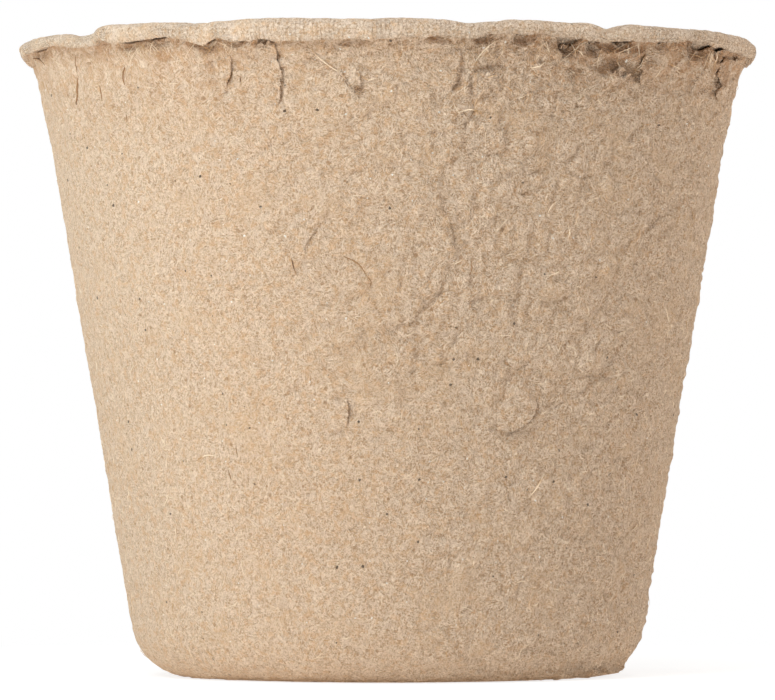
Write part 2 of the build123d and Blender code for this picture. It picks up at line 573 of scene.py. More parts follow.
@dataclass(frozen=True)
class Speck:
    """Small odd-shaped grains of one colour, strewn over the pulp."""

    spacing: float
    size: float
    share: float
    tone: Colour
    strength: float

    def strew(self, bench: NodeBench, place: Socket, colour: Socket) -> Socket:
        """Strews the grains.

        Args:
            bench: Node bench of the material.
            place: Coordinates in metres on the surface, slightly crumpled.
            colour: Colour of the pulp.

        Returns:
            Socket with the colour of pulp and grains.
        """
        inputs = {"Vector": place, "Scale": 1.0 / self.spacing}
        cells = bench.add("TexVoronoi", inputs, voronoi_dimensions="2D")
        chance = bench.add("SeparateColor", {0: cells.outputs["Color"]})
        radius = bench.math("MULTIPLY", chance.outputs[1], self.size / self.spacing)
        dot = bench.math("LESS_THAN", cells.outputs["Distance"], radius)
        there = bench.math("LESS_THAN", chance.outputs[0], self.share)
        mask = bench.math("MULTIPLY", bench.math("MULTIPLY", dot, there), self.strength)
        return bench.blend(mask, colour, (*self.tone, 1.0))


@dataclass(frozen=True)
class PulpFinish:
    """Matt pulp: mottled tan, matted with pale and brown fibres, with bark specks and a felted relief.

    The tones from dark_fine to warm are shares of the tan in each channel.
    """

    name: str
    tan: Colour
    # The dark tones fall in the bump's hollows: partly grain tone, partly painted shade.
    dark_fine: Colour = (0.66, 0.57, 0.47)
    dark_coarse: Colour = (0.57, 0.45, 0.33)
    light_fine: Colour = (1.19, 1.24, 1.31)
    light_coarse: Colour = (1.22, 1.31, 1.43)
    rust: Colour = (0.93, 0.75, 0.55)
    ash: Colour = (1.11, 1.16, 1.27)
    # Brown of torn pulp, also used as painted shade under the lip.
    torn_and_shade_tone: Colour = (0.68, 0.50, 0.355)
    warm: Colour = (0.97, 0.88, 0.76)
    pale: Colour = (0.93, 0.78, 0.61)
    brown: Colour = (0.40, 0.21, 0.09)
    relief: float = 0.30 * MM
    weave: float = 0.0
    weave_pitch: float = 0.60 * MM

    def build(self) -> bpy.types.Material:
        """Makes the material.

        Returns:
            The node material, which follows the UV map PULP_MAP and Object coordinates.
        """
        bench = NodeBench(bpy.data.materials.new(self.name))
        place = bench.add("UVMap", {}, uv_map=PULP_MAP).outputs[0]
        solid = bench.add("TexCoord", {}).outputs["Object"]
        fields = (
            FibreField(1.5 * MM, 1.1 * MM, 0.17 * MM, (3.1, 7.7, 0.0)),
            FibreField(1.0 * MM, 0.7 * MM, 0.14 * MM, (11.3, 2.9, 0.0)),
            FibreField(0.6 * MM, 0.45 * MM, 0.11 * MM, (5.9, 13.1, 0.0)),
        )
        streaks = [field.draw(bench, place) for field in fields]
        colour, relief = self.mottled(bench, solid, streaks)
        colour = self.fibrous(bench, streaks, colour)
        colour = self.specked(bench, place, colour)
        if self.weave:
            relief = self.woven(bench, place, solid, relief)
        bump = bench.add("Bump", {"Height": relief, "Distance": self.relief, "Strength": 1.0})
        inputs = {"Base Color": colour, "Normal": bump.outputs[0], "Roughness": 0.95}
        inputs |= {"Specular IOR Level": 0.06, "Sheen Weight": 0.34, "Sheen Tint": (1.0, 0.86, 0.72, 1.0)}
        shader = bench.add("BsdfPrincipled", inputs)
        bench.add("OutputMaterial", {"Surface": shader.outputs[0]})
        return bench.owner

    def toned(self, tone: Colour) -> tuple[float, float, float, float]:
        """The tan, made lighter or darker in each channel."""
        red, green, blue = (base * share for base, share in zip(self.tan, tone))
        return red, green, blue, 1.0

    def mottled(self, bench: NodeBench, solid: Socket, streaks: list[Socket]) -> tuple[Socket, Socket]:
        """Tan that changes slowly, in clots, from fibre to fibre and from grain to grain. The grain is
        darker in the bump's hollows, partly as painted shade, and the torn tone is partly painted shade
        under the lip.

        Args:
            bench: Node bench of the material.
            solid: Coordinates in metres in the object's space.
            streaks: Fields of matted fibres.

        Returns:
            Sockets with the colour and the relief.
        """
        slow = bench.noise(solid, 7.0 * MM, 4.0)
        clots = bench.noise(solid, 1.1 * MM, 2.0)
        nap = bench.noise(bench.vector("ADD", solid, (0.3, 0.1, 0.2)), 0.50 * MM, 2.0)
        grain = bench.noise(solid, 0.26 * MM, 2.0)
        # Grain and nap also shape the bump, so the dark tone lies in its hollows: partly grain tone, partly
        # painted shade.
        level = bench.math("MULTIPLY_ADD", grain, 0.36, bench.math("MULTIPLY", nap, 0.22))
        relief = bench.math("MULTIPLY_ADD", clots, 1.6, bench.math("MULTIPLY", grain, 0.5))
        relief = bench.math("MULTIPLY_ADD", nap, 1.1, relief)
        for streak in streaks:
            level = bench.math("MULTIPLY_ADD", streak, 0.14, level)
            relief = bench.math("MULTIPLY_ADD", streak, 0.9, relief)
        coarse = bench.add("Attribute", {}, attribute_name=COARSE).outputs["Fac"]
        # Coarse pulp, most on the right, gets a darker dark tone: partly coarser grain, partly painted
        # shade in the hollows.
        dark = bench.blend(coarse, self.toned(self.dark_fine), self.toned(self.dark_coarse))
        light = bench.blend(coarse, self.toned(self.light_fine), self.toned(self.light_coarse))
        colour = bench.blend(bench.step(level, 0.40, 0.60), dark, light)
        strength = bench.math("MULTIPLY_ADD", coarse, -0.16, 0.56)
        rust = bench.math("MULTIPLY", bench.step(clots, 0.50, 0.66), strength)
        colour = bench.blend(rust, colour, self.toned(self.rust))
        strength = bench.math("MULTIPLY_ADD", coarse, -0.12, 0.50)
        ash = bench.math("MULTIPLY", bench.step(clots, 0.47, 0.34), strength)
        colour = bench.blend(ash, colour, self.toned(self.ash))
        # Torn tone: partly torn brown pulp, partly painted shade under the lip.
        torn = bench.add("Attribute", {}, attribute_name=TORN_AND_SHADE).outputs["Fac"]
        torn = bench.math("MULTIPLY", torn, bench.step(bench.noise(solid, 2.2 * MM, 3.0), 0.36, 0.62))
        colour = bench.blend(torn, colour, self.toned(self.torn_and_shade_tone))
        warmth = bench.math("MULTIPLY", bench.step(slow, 0.48, 0.70), 0.40)
        colour = bench.blend(warmth, colour, self.toned(self.warm))
        return colour, bench.math("MULTIPLY", relief, bench.math("MULTIPLY_ADD", coarse, 0.6, 1.0))

    def fibrous(self, bench: NodeBench, streaks: list[Socket], colour: Socket) -> Socket:
        """Adds pale fibres, and brown gaps between them."""
        for streak in streaks:
            high = bench.math("MULTIPLY", bench.step(streak, 0.54, 0.80), 0.24)
            low = bench.math("MULTIPLY", bench.step(streak, 0.46, 0.22), 0.10)
            colour = bench.blend(high, colour, (*self.pale, 1.0))
            colour = bench.blend(low, colour, (*self.brown, 1.0))
        return colour

    def specked(self, bench: NodeBench, place: Socket, colour: Socket) -> Socket:
        """Adds bark specks, brown grains and a few pale glints."""
        inputs = {"Vector": place, "Scale": 1.0 / (0.25 * MM), "Detail": 1.0}
        wobble = bench.add("TexNoise", inputs, noise_dimensions="2D").outputs["Color"]
        crumpled = bench.vector("MULTIPLY_ADD", wobble, (0.22 * MM, 0.22 * MM, 0.0), place)
        specks = (
            Speck(4.4 * MM, 0.24 * MM, 0.28, (0.06, 0.035, 0.02), 0.90),
            Speck(1.9 * MM, 0.30 * MM, 0.36, self.brown, 0.62),
            Speck(2.9 * MM, 0.15 * MM, 0.30, (1.0, 0.96, 0.90), 0.85),
        )
        for speck in specks:
            colour = speck.strew(bench, crumpled, colour)
        return colour

    def woven(self, bench: NodeBench, place: Socket, solid: Socket, relief: Socket) -> Socket:
        """Adds the marks of the forming screen, worn in patches."""
        part = bench.add("SeparateXYZ", {0: place})
        rate = math.tau / self.weave_pitch
        across = bench.math("SINE", bench.math("MULTIPLY", part.outputs[0], rate))
        up = bench.math("SINE", bench.math("MULTIPLY", part.outputs[1], rate))
        marks = bench.math("MULTIPLY_ADD", up, 0.8, across)
        worn = bench.step(bench.noise(solid, 4.0 * MM, 2.0), 0.30, 0.65)
        return bench.math("MULTIPLY_ADD", bench.math("MULTIPLY", marks, worn), self.weave, relief)


@dataclass(frozen=True)
class FibreFinish:
    """Loose fibres: pale to orange-brown from one to the next."""

    name: str = "loose_fibre"
    pale: Colour = (0.86, 0.70, 0.52)
    brown: Colour = (0.55, 0.33, 0.16)

    def build(self) -> bpy.types.Material:
        """Makes the material."""
        bench = NodeBench(bpy.data.materials.new(self.name))
        solid = bench.add("TexCoord", {}).outputs["Object"]
        share = bench.step(bench.noise(solid, 2.2 * MM, 1.0), 0.46, 0.66)
        colour = bench.blend(share, (*self.pale, 1.0), (*self.brown, 1.0))
        inputs = {"Base Color": colour, "Roughness": 0.85, "Specular IOR Level": 0.2}
        shader = bench.add("BsdfPrincipled", inputs)
        bench.add("OutputMaterial", {"Surface": shader.outputs[0]})
        return bench.owner


@dataclass(frozen=True)
class Pocket:
    """Hollow under the lip, where the felt has torn away: place in degrees, size in millimetres."""

    bearing: float
    half_width: float
    depth: float
    drop: float


@dataclass(frozen=True)
class Crease:
    """Fold or step in the felt: bearing and height of its points, and its size, in millimetres."""

    route: Route
    depth: float
    width: float
    step: float


@dataclass(frozen=True)
class WallProbe:
    """Finds places on the shaped wall."""

    surface: BVHTree

    def place(self, bearing: float, height: float, lift: float) -> Vector:
        """Point above the wall's outer face.

        Args:
            bearing: Bearing in degrees.
            height: Height of the point on the wall.
            lift: Distance from the wall's face.

        Returns:
            The place; above the torn edge of the felt, it follows the plain flare.
        """
        outwards = away_from_axis(bearing)
        start = outwards * 2.0 * POT.base_radius + Vector((0.0, 0.0, height))
        hit = self.surface.ray_cast(start, -outwards, 1.5 * POT.base_radius)[0]
        if hit is None:
            hit = outwards * (POT.wall_radius(height) + 0.8 * MM) + Vector((0.0, 0.0, height))
        lean = Vector((outwards.x, outwards.y, -math.tan(POT.draft))).normalized()
        return hit + lean * lift


@dataclass
class FeltWall:
    """Outer ply: the rough side of the wall, with its heel and the torn flare under the lip."""

    columns: int = 640
    crowding: float = 0.4
    densest: float = 16.0
    heel_rows: int = 24
    wall_rows: int = 226
    flare_rows: int = 28
    flare_start: float = 86.0 * MM
    flare_top: float = 90.85 * MM
    flare_reach: float = 1.30 * MM
    flare_power: float = 1.8

    pockets: tuple[Pocket, ...] = (
        Pocket(-74.0, 5.0, 0.7, 0.35),
        Pocket(-43.2, 2.6, 1.0, 0.5),
        Pocket(-38.2, 2.6, 1.0, 0.45),
        Pocket(-29.4, 2.4, 0.8, 0.35),
        Pocket(-23.6, 2.0, 0.8, 0.3),
        Pocket(-19.2, 1.3, 1.3, 0.5),
        Pocket(-5.6, 2.2, 0.6, 0.1),
        Pocket(7.8, 1.2, 0.7, 0.1),
        Pocket(14.9, 1.4, 1.2, 0.5),
        Pocket(21.3, 1.7, 1.2, 0.35),
        Pocket(29.2, 1.9, 2.0, 1.3),
        Pocket(34.0, 1.5, 1.7, 0.8),
        Pocket(39.0, 2.8, 1.4, 0.6),
        Pocket(48.0, 1.8, 0.7, 0.3),
        Pocket(59.0, 3.0, 1.7, 1.1),
        Pocket(65.0, 1.6, 1.5, 0.7),
        Pocket(108.0, 3.4, 1.0, 0.5),
        Pocket(131.0, 3.0, 0.9, 0.4),
        Pocket(163.0, 3.8, 1.0, 0.5),
        Pocket(-160.0, 3.0, 0.9, 0.4),
        Pocket(-131.0, 3.6, 1.0, 0.45),
        Pocket(-104.0, 2.8, 0.9, 0.4),
    )
    creases: tuple[Crease, ...] = (
        Crease(((9.0, 68.6), (10.5, 64.7), (11.8, 61.8)), 0.1, 0.9, 0.36),
        Crease(((9.6, 57.6), (9.4, 56.4), (6.3, 53.7), (3.7, 51.5), (0.3, 50.8)), 0.08, 1.0, 0.28),
        Crease(((-3.5, 56.6), (0.2, 58.9), (3.2, 61.0)), 0.08, 0.8, -0.3),
        Crease(((-11.2, 65.9), (-13.8, 62.9), (-14.5, 61.4)), 0.16, 0.6, 0.25),
        Crease(((-17.9, 62.4), (-17.0, 60.0), (-16.0, 57.8)), 0.22, 0.45, 0.1),
        Crease(((-7.9, 61.1), (-5.7, 60.1), (-3.6, 58.1)), 0.15, 0.5, -0.15),
        Crease(((-20.6, 71.2), (-19.0, 69.0)), 0.15, 0.6, 0.2),
        Crease(((4.9, 46.5), (3.8, 44.1), (3.0, 41.9)), 0.14, 0.8, 0.32),
        Crease(((56.4, 68.6), (53.4, 67.0), (51.5, 65.2)), 0.22, 0.7, 0.3),
        Crease(((45.9, 46.4), (44.8, 45.0), (43.1, 44.4), (40.5, 44.5)), 0.22, 0.6, 0.25),
        Crease(((-17.2, 29.5), (-16.0, 27.6)), 0.15, 0.6, 0.15),
        Crease(((0.8, 26.6), (2.2, 25.0)), 0.15, 0.5, 0.15),
        Crease(((14.2, 6.2), (17.8, 3.6)), 0.2, 0.6, 0.2),
        Crease(((43.0, 3.8), (47.5, 3.0), (51.4, 2.2)), 0.25, 0.6, 0.2),
        Crease(((-57.4, 91.1), (-59.0, 89.2), (-60.7, 87.0), (-62.6, 83.7)), 0.25, 0.45, 0.1),
        Crease(((-53.8, 86.0), (-53.9, 83.8)), 0.2, 0.4, 0.05),
        Crease(((-46.7, 88.3), (-47.3, 85.8)), 0.28, 0.4, 0.1),
        Crease((
            (-17.5, 90.4), (-17.1, 88.2), (-16.9, 85.9), (-17.3, 83.8), (-17.7, 82.6),
        ), 0.55, 0.45, 0.0),
        Crease(((-24.8, 88.1), (-25.4, 86.8), (-26.1, 85.4), (-26.8, 84.1)), 0.45, 0.42, 0.0),
        Crease(((-28.7, 88.5), (-27.5, 87.8), (-26.4, 87.1)), 0.4, 0.4, 0.0),
        Crease(((-12.4, 90.3), (-10.6, 88.7), (-8.8, 87.3), (-6.5, 86.2)), 0.25, 0.4, -0.2),
        Crease(((-4.4, 84.8), (-4.1, 83.9), (-4.4, 83.0)), 0.8, 0.5, 0.0),
        Crease(((11.4, 89.4), (11.6, 87.9), (11.8, 86.8), (11.4, 85.4), (10.5, 84.2)), 0.6, 0.34, 0.0),
        Crease(((13.3, 86.0), (13.7, 84.3), (13.9, 82.9), (14.0, 81.3), (13.9, 80.2)), 0.6, 0.34, 0.0),
        Crease(((36.4, 87.9), (37.7, 89.1), (40.6, 88.7), (43.4, 87.4)), 1.1, 1.0, 0.0),
        Crease((
            (20.1, 36.5), (21.3, 36.2), (23.0, 36.0), (24.5, 36.0), (25.9, 36.5), (27.4, 37.3),
            (28.5, 38.2), (29.4, 39.2), (29.8, 40.2),
        ), 0.45, 0.3, 0.0),
        Crease(((-7.6, 40.4), (-7.4, 39.2), (-7.7, 37.9), (-8.4, 36.7), (-9.6, 36.0)), 0.35, 0.3, 0.0),
        Crease(((13.7, 86.5), (15.3, 87.3), (17.4, 87.8), (18.8, 87.4)), 0.55, 0.34, 0.0),
        Crease(((29.9, 88.0), (31.6, 87.2), (30.7, 86.2)), 0.4, 0.5, 0.0),
        Crease(((68.8, 90.7), (67.5, 89.6), (66.6, 88.6), (69.3, 87.3), (67.4, 85.1)), 0.5, 0.5, 0.0),
    )
    heel_bulge: float = 1.7 * MM
    reliefs: tuple[Relief, ...] = (
        Relief(26.0, 0.60, Lump.SOFT, "shown"),
        Relief(6.0, 1.65, Lump.CREASED, "rough"),
        Relief(2.6, 1.90, Lump.CREASED, "rough"),
        Relief(1.3, 0.40, Lump.SOFT, "shown"),
        Relief(2.1, 1.10, Lump.CREASED, "frayed"),
        Relief(1.9, 1.50, Lump.CREASED, "torn_zone"),
        Relief(0.9, 0.80, Lump.CREASED, "torn_zone"),
    )

    def profile(self) -> tuple[Profile, int]:
        """Section of the ply.

        Returns:
            Radius and height of each point, up the outer face and down the hidden one, and the number of
            points on the outer face.
        """
        top_turn = 0.5 * math.pi - POT.draft
        outer = [POT.heel_point(top_turn * row / self.heel_rows, 0.0) for row in range(self.heel_rows)]
        low = POT.heel_point(top_turn, 0.0)[1]
        for row in range(self.wall_rows):
            height = low + (self.flare_start - low) * row / self.wall_rows
            outer.append((POT.wall_radius(height), height))
        for row in range(self.flare_rows + 1):
            share = row / self.flare_rows
            height = self.flare_start + (self.flare_top - self.flare_start) * share
            outer.append((POT.wall_radius(height) + self.flare_reach * share ** self.flare_power, height))
        ledge, top = outer[-1]
        hidden = [(ledge - 0.35 * MM, top + 0.10 * MM), (ledge - 1.0 * MM, top + 0.05 * MM)]
        depth = POT.outer_ply / math.cos(POT.draft)
        for height in (0.5 * (top + POT.seat), POT.seat, 0.5 * POT.seat, low):
            hidden.append((POT.wall_radius(height) - depth, height))
        hidden += [POT.heel_point(top_turn * share, POT.outer_ply) for share in (0.5, 0.0)]
        return outer + hidden, len(outer)

    def build(self, material: bpy.types.Material) -> tuple[WallProbe, WallProbe]:
        """Models the ply and cuts it into a front and a back piece.

        Args:
            material: Finish of the felt side.

        Returns:
            Probes of the outer surface, without and with its creases and pockets.
        """
        profile, shown_rows = self.profile()
        wall = Bench.spun_shell("felt_front", profile, self.columns)
        bearing, radius, height = polar(Bench.points(wall))
        bearing -= np.degrees(0.5 * self.crowding * np.sin(2.0 * np.radians(bearing - self.densest)))
        Bench.move_points(wall, from_polar(bearing, radius, height))
        reach = sum(math.dist(*pair) for pair in zip(profile[: shown_rows - 1], profile[1:shown_rows]))
        shown = (Bench.along(wall) < reach + 0.01 * MM).astype(float)
        self.shape_relief(wall, shown)
        self.raise_edge(wall)
        plain = WallProbe(BVHTree.FromObject(wall, bpy.context.evaluated_depsgraph_get()))
        self.press(wall, shown)
        probe = WallProbe(BVHTree.FromObject(wall, bpy.context.evaluated_depsgraph_get()))
        Bench.wrap_map(wall, MIDDLE_RADIUS, Bench.along(wall))
        Bench.shade_smooth(wall)
        back = self.cut_in_two(wall)
        for half in (wall, back):
            Bench.finish(half, material, Slot.FELT, "outer_ply")
        return plain, probe

    def shape_relief(self, wall: bpy.types.Object, shown: np.ndarray) -> None:
        """Gives the wall its slow bulges, its lumps and its grain.

        Args:
            wall: The spun ring.
            shown: 1 for each point of the outer face and 0 for the others.
        """
        bearing, _, height = polar(Bench.points(wall))
        front = smooth(-38.0, -8.0, bearing) * smooth(170.0, 120.0, bearing)
        middle = bell(turned(bearing, 1.0), 27.0) * smooth(28 * MM, 55 * MM, height)
        upper = smooth(66 * MM, 84 * MM, height) * (0.45 + 0.55 * front)
        right = smooth(20.0, 50.0, bearing) * smooth(150.0, 110.0, bearing)
        behind = smooth(95.0, 140.0, np.abs(bearing))
        rough = 0.30 + 0.28 * front + 0.6 * middle + 0.4 * upper + 0.36 * right + 0.25 * behind
        rough = np.minimum(rough, 1.0) * (1.0 - 0.65 * bell(turned(np.abs(bearing), 88.0), 16.0))
        frayed = smooth(0.0, 16.0, bearing) * smooth(84.0, 66.0, bearing) * smooth(74 * MM, 84 * MM, height)
        # Torn tone, partly painted shade under the lip.
        torn = torn_and_shade_share(bearing, height)
        Bench.paint(wall, TORN_AND_SHADE, torn)
        Bench.paint(wall, COARSE, coarseness(bearing))
        torn_zone = np.where(bearing < -12.0, 0.39, 0.78) * torn
        groups = {"shown": 1.0, "rough": rough, "torn_zone": torn_zone, "frayed": frayed}
        for name, weight in groups.items():
            Bench.weigh(wall, name, shown * weight)
        for relief in self.reliefs:
            relief.add(wall)
        Bench.apply_modifiers(wall)

    def edge_height(self, bearing: np.ndarray) -> np.ndarray:
        """Height of the felt's upper edge, tucked a little behind the lip."""
        fray = 0.16 * ripple(bearing, 0.30, 2.0) + 0.13 * ripple(bearing, 1.1, 5.0)
        return POT.height + lip_rise(bearing) - lip_depth(bearing) + (fray + 0.45) * MM

    def raise_edge(self, wall: bpy.types.Object) -> None:
        """Draws the flare up to the lip's lower edge."""
        bearing, radius, height = polar(Bench.points(wall))
        upper = np.clip((height - self.flare_start) / (self.flare_top - self.flare_start), 0.0, 1.1)
        outward = 0.6 * lip_rise(bearing) * upper + 0.15 * MM * ripple(bearing, 0.8, 8.0) * upper ** 2
        outward += 0.42 * MM * smooth(78.0 * MM, 87.0 * MM, height)
        height = height + upper * (self.edge_height(bearing) - self.flare_top)
        Bench.move_points(wall, from_polar(bearing, radius + outward, height))

    def press(self, wall: bpy.types.Object, shown: np.ndarray) -> None:
        """Presses in the pockets under the lip, folds the creases and squares the heel on the right.

        Args:
            wall: The ring, drawn up to the lip.
            shown: 1 for each point of the outer face and 0 for the others.
        """
        bearing, radius, height = polar(Bench.points(wall))
        top = self.edge_height(bearing)
        upper = np.clip((height - self.flare_start) / (top - self.flare_start), 0.0, 1.1)
        drop = np.zeros(len(bearing))
        hollow = np.zeros(len(bearing))
        for pocket in self.pockets:
            side = np.exp(-((turned(bearing, pocket.bearing) / pocket.half_width) ** 4))
            depth = (top - height) / ((pocket.drop + 1.2) * MM)
            drop = np.maximum(drop, pocket.drop * MM * side)
            hollow = np.maximum(hollow, pocket.depth * MM * side * smooth(1.0, 0.1, depth))
        square = bell(turned(bearing, 90.0), 48.0) * bell(height - 0.6 * MM, 0.9 * MM)
        outward = self.heel_bulge * square * smooth(0.0, 0.35 * MM, height) - hollow
        for crease in self.creases:
            outward += shown * self.crease_depth(crease, bearing, height)
        level = np.maximum(height - upper * drop, 0.0)
        Bench.move_points(wall, from_polar(bearing, radius + outward, level))

    @staticmethod
    def crease_depth(crease: Crease, bearing: np.ndarray, height: np.ndarray) -> np.ndarray:
        """How far one crease moves each point outwards.

        Args:
            crease: The crease.
            bearing: Bearing of each point.
            height: Height of each point.

        Returns:
            Distance outwards, one for each point.
        """
        middle = crease.route[len(crease.route) // 2]
        scale = math.radians(1.0) * POT.wall_radius(middle[1] * MM)
        right = turned(bearing, middle[0]) * scale
        up = height - middle[1] * MM
        route = [((b - middle[0]) * scale, (h - middle[1]) * MM) for b, h in crease.route]
        nearest = np.full(len(bearing), 1.0)
        side = np.zeros(len(bearing))
        for (x0, y0), (x1, y1) in zip(route, route[1:]):
            run = math.hypot(x1 - x0, y1 - y0)
            share = np.clip(((right - x0) * (x1 - x0) + (up - y0) * (y1 - y0)) / run ** 2, 0.0, 1.0)
            away = np.hypot(right - x0 - share * (x1 - x0), up - y0 - share * (y1 - y0))
            cross = ((y1 - y0) * (right - x0) - (x1 - x0) * (up - y0)) / run
            side = np.where(away < nearest, cross, side)
            nearest = np.minimum(nearest, away)
        width = crease.width * MM
        groove = -crease.depth * bell(nearest, width)
        raised = crease.step * np.tanh(side / (0.5 * width)) * bell(nearest, 3.5 * width)
        return (groove + raised) * MM

    def cut_in_two(self, wall: bpy.types.Object) -> bpy.types.Object:
        """Parts the wall at its sides and closes both cuts with flat faces.

        Args:
            wall: The whole ring, which becomes the front piece.

        Returns:
            The back piece.
        """
        Bench.pick(wall)
        mesh = wall.data
        centres = np.empty(len(mesh.polygons) * 3, np.float32)
        mesh.polygons.foreach_get("center", centres)
        bpy.ops.object.mode_set(mode="EDIT")
        bpy.ops.mesh.select_mode(type="FACE")
        bpy.ops.mesh.select_all(action="DESELECT")
        shape = bmesh.from_edit_mesh(mesh)
        shape.faces.ensure_lookup_table()
        for index in np.flatnonzero(centres.reshape(-1, 3)[:, 1] > 0.0):
            shape.faces[index].select = True
        bmesh.update_edit_mesh(mesh)
        bpy.ops.mesh.separate(type="SELECTED")
        bpy.ops.object.mode_set(mode="OBJECT")
        back = next(piece for piece in bpy.context.selected_objects if piece is not wall)
        back.name = back.data.name = "felt_back"
        for half in (wall, back):
            Bench.pick(half)
            bpy.ops.object.mode_set(mode="EDIT")
            bpy.ops.mesh.select_mode(type="EDGE")
            bpy.ops.mesh.select_all(action="DESELECT")
            bpy.ops.mesh.select_non_manifold()
            bpy.ops.mesh.mark_sharp()
            bpy.ops.mesh.edge_face_add()
            bpy.ops.mesh.faces_shade_flat()
            bpy.ops.object.mode_set(mode="OBJECT")
        return back


@dataclass
class Lip:
    """Flange round the mouth: screen-marked on top, with a rolled, ragged lower edge."""

    columns: int = 1000
    spacing: float = 0.30 * MM
    face: float = 2.92 * MM
    reliefs: tuple[Relief, ...] = (
        Relief(10.0, 0.60),
        Relief(3.0, 0.35),
        Relief(1.1, 0.22),
        Relief(2.4, 0.80, Lump.CREASED, "ragged"),
    )

    def section(self) -> np.ndarray:
        """Section of the lip, from the inside over the top and back under the edge.

        Returns:
            One row for each point: radius, height, share of the lip's wave and share of its torn depth.
        """
        low = POT.seat - 3.0 * MM
        inner = POT.inner_radius(low)
        edge = POT.edge_radius
        top = POT.height
        keys = (
            (inner + 0.55 * MM, low, 0.0, 0.0),
            (inner + 0.42 * MM, low + 1.5 * MM, 0.0, 0.0),
            (inner + 0.40 * MM, low + 3.0 * MM, 0.05, 0.0),
            (inner + 0.95 * MM, low + 5.2 * MM, 0.25, 0.0),
            (edge - 3.85 * MM, top - 2.30 * MM, 0.50, 0.0),
            (edge - 2.95 * MM, top - 1.00 * MM, 0.80, 0.0),
            (edge - 2.10 * MM, top - 0.25 * MM, 0.95, 0.0),
            (edge - 1.30 * MM, top, 1.0, 0.0),
            (edge - 0.55 * MM, top - 0.12 * MM, 1.0, 0.04),
            (edge + 0.02 * MM, top - 0.50 * MM, 1.0, 0.17),
            (edge + 0.28 * MM, top - 1.05 * MM, 1.0, 0.36),
            (edge + 0.28 * MM, top - 1.75 * MM, 1.0, 0.60),
            (edge + 0.10 * MM, top - 2.40 * MM, 1.0, 0.82),
            (edge - 0.06 * MM, top - 2.80 * MM, 1.0, 0.96),
            (edge - 0.24 * MM, top - 2.92 * MM, 1.0, 1.0),
            (edge - 0.50 * MM, top - 2.84 * MM, 1.0, 1.0),
            (edge - 1.20 * MM, top - 2.55 * MM, 0.95, 0.90),
            (edge - 2.10 * MM, top - 2.25 * MM, 0.85, 0.60),
            (edge - 3.00 * MM, top - 2.40 * MM, 0.60, 0.20),
            (edge - 3.70 * MM, top - 3.30 * MM, 0.30, 0.0),
            (inner + 1.25 * MM, low + 3.0 * MM, 0.0, 0.0),
            (inner + 1.00 * MM, low, 0.0, 0.0),
        )
        return smooth_line(np.array(keys), self.spacing)

    def build(self, material: bpy.types.Material) -> None:
        """Models the lip with the given finish."""
        section = self.section()
        lip = Bench.spun_shell("lip_ring", section[:, :2].tolist(), self.columns)
        self.wave(lip, section)
        for relief in self.reliefs:
            relief.add(lip)
        Bench.apply_modifiers(lip)
        Bench.wrap_map(lip, POT.edge_radius, Bench.along(lip))
        Bench.shade_smooth(lip)
        Bench.finish(lip, material, Slot.LIP, "lip")

    def wave(self, lip: bpy.types.Object, section: np.ndarray) -> None:
        """Lifts and drops the edge along its waves and tears its lower side.

        Args:
            lip: The spun ring.
            section: Points of the section.
        """
        bearing, radius, height = polar(Bench.points(lip))
        along = Bench.along(lip)
        steps = np.hypot(*np.diff(section[:, :2], axis=0).T)
        key_along = np.concatenate([[0.0], np.cumsum(steps)])
        rise = lip_rise(bearing) * np.interp(along, key_along, section[:, 2])
        share = np.interp(along, key_along, section[:, 3])
        torn = (self.face - lip_depth(bearing)) * share
        curl = 0.30 * MM * share * ripple(bearing, 0.16, 21.0)
        Bench.move_points(lip, from_polar(bearing, radius + 0.6 * rise + curl, height + rise + torn))
        Bench.weigh(lip, "ragged", smooth(0.2, 0.8, share) * coarseness(bearing))
        # Torn tone on the lip's lower edge and underside, where the pulp is coarse: partly torn pulp,
        # partly painted shade under the lip.
        Bench.paint(lip, TORN_AND_SHADE, 0.18 * smooth(0.6, 1.0, share) * coarseness(bearing))
        Bench.paint(lip, COARSE, coarseness(bearing))


@dataclass
class ScreenWall:
    """Inner ply: the side that lay on the forming screen."""

    columns: int = 420
    heel_rows: int = 20
    wall_rows: int = 150
    clearance: float = 0.05 * MM
    reliefs: tuple[Relief, ...] = (Relief(24.0, 0.50), Relief(4.0, 0.18))

    def profile(self) -> Profile:
        """Section of the ply.

        Returns:
            Radius and height of each point: up the inner face, then down the hidden one.
        """
        top_turn = 0.5 * math.pi - POT.draft
        inner = [POT.heel_point(top_turn * row / self.heel_rows, POT.wall) for row in range(self.heel_rows)]
        low = POT.heel_point(top_turn, POT.wall)[1]
        high = POT.seat
        for row in range(self.wall_rows + 1):
            height = low + (high - low) * row / self.wall_rows
            inner.append((POT.inner_radius(height), height))
        behind = POT.outer_ply + self.clearance
        depth = behind / math.cos(POT.draft)
        hidden = [(POT.wall_radius(height) - depth, height) for height in (high, 0.5 * high, low)]
        hidden += [POT.heel_point(top_turn * share, behind) for share in (0.5, 0.0)]
        return inner + hidden

    def build(self, material: bpy.types.Material) -> None:
        """Models the ply with the given finish."""
        wall = Bench.spun_shell("screen_wall", self.profile(), self.columns)
        for relief in self.reliefs:
            relief.add(wall)
        Bench.apply_modifiers(wall)
        Bench.wrap_map(wall, MIDDLE_RADIUS, Bench.along(wall))
        Bench.shade_smooth(wall)
        Bench.finish(wall, material, Slot.SCREEN, "inner_ply")


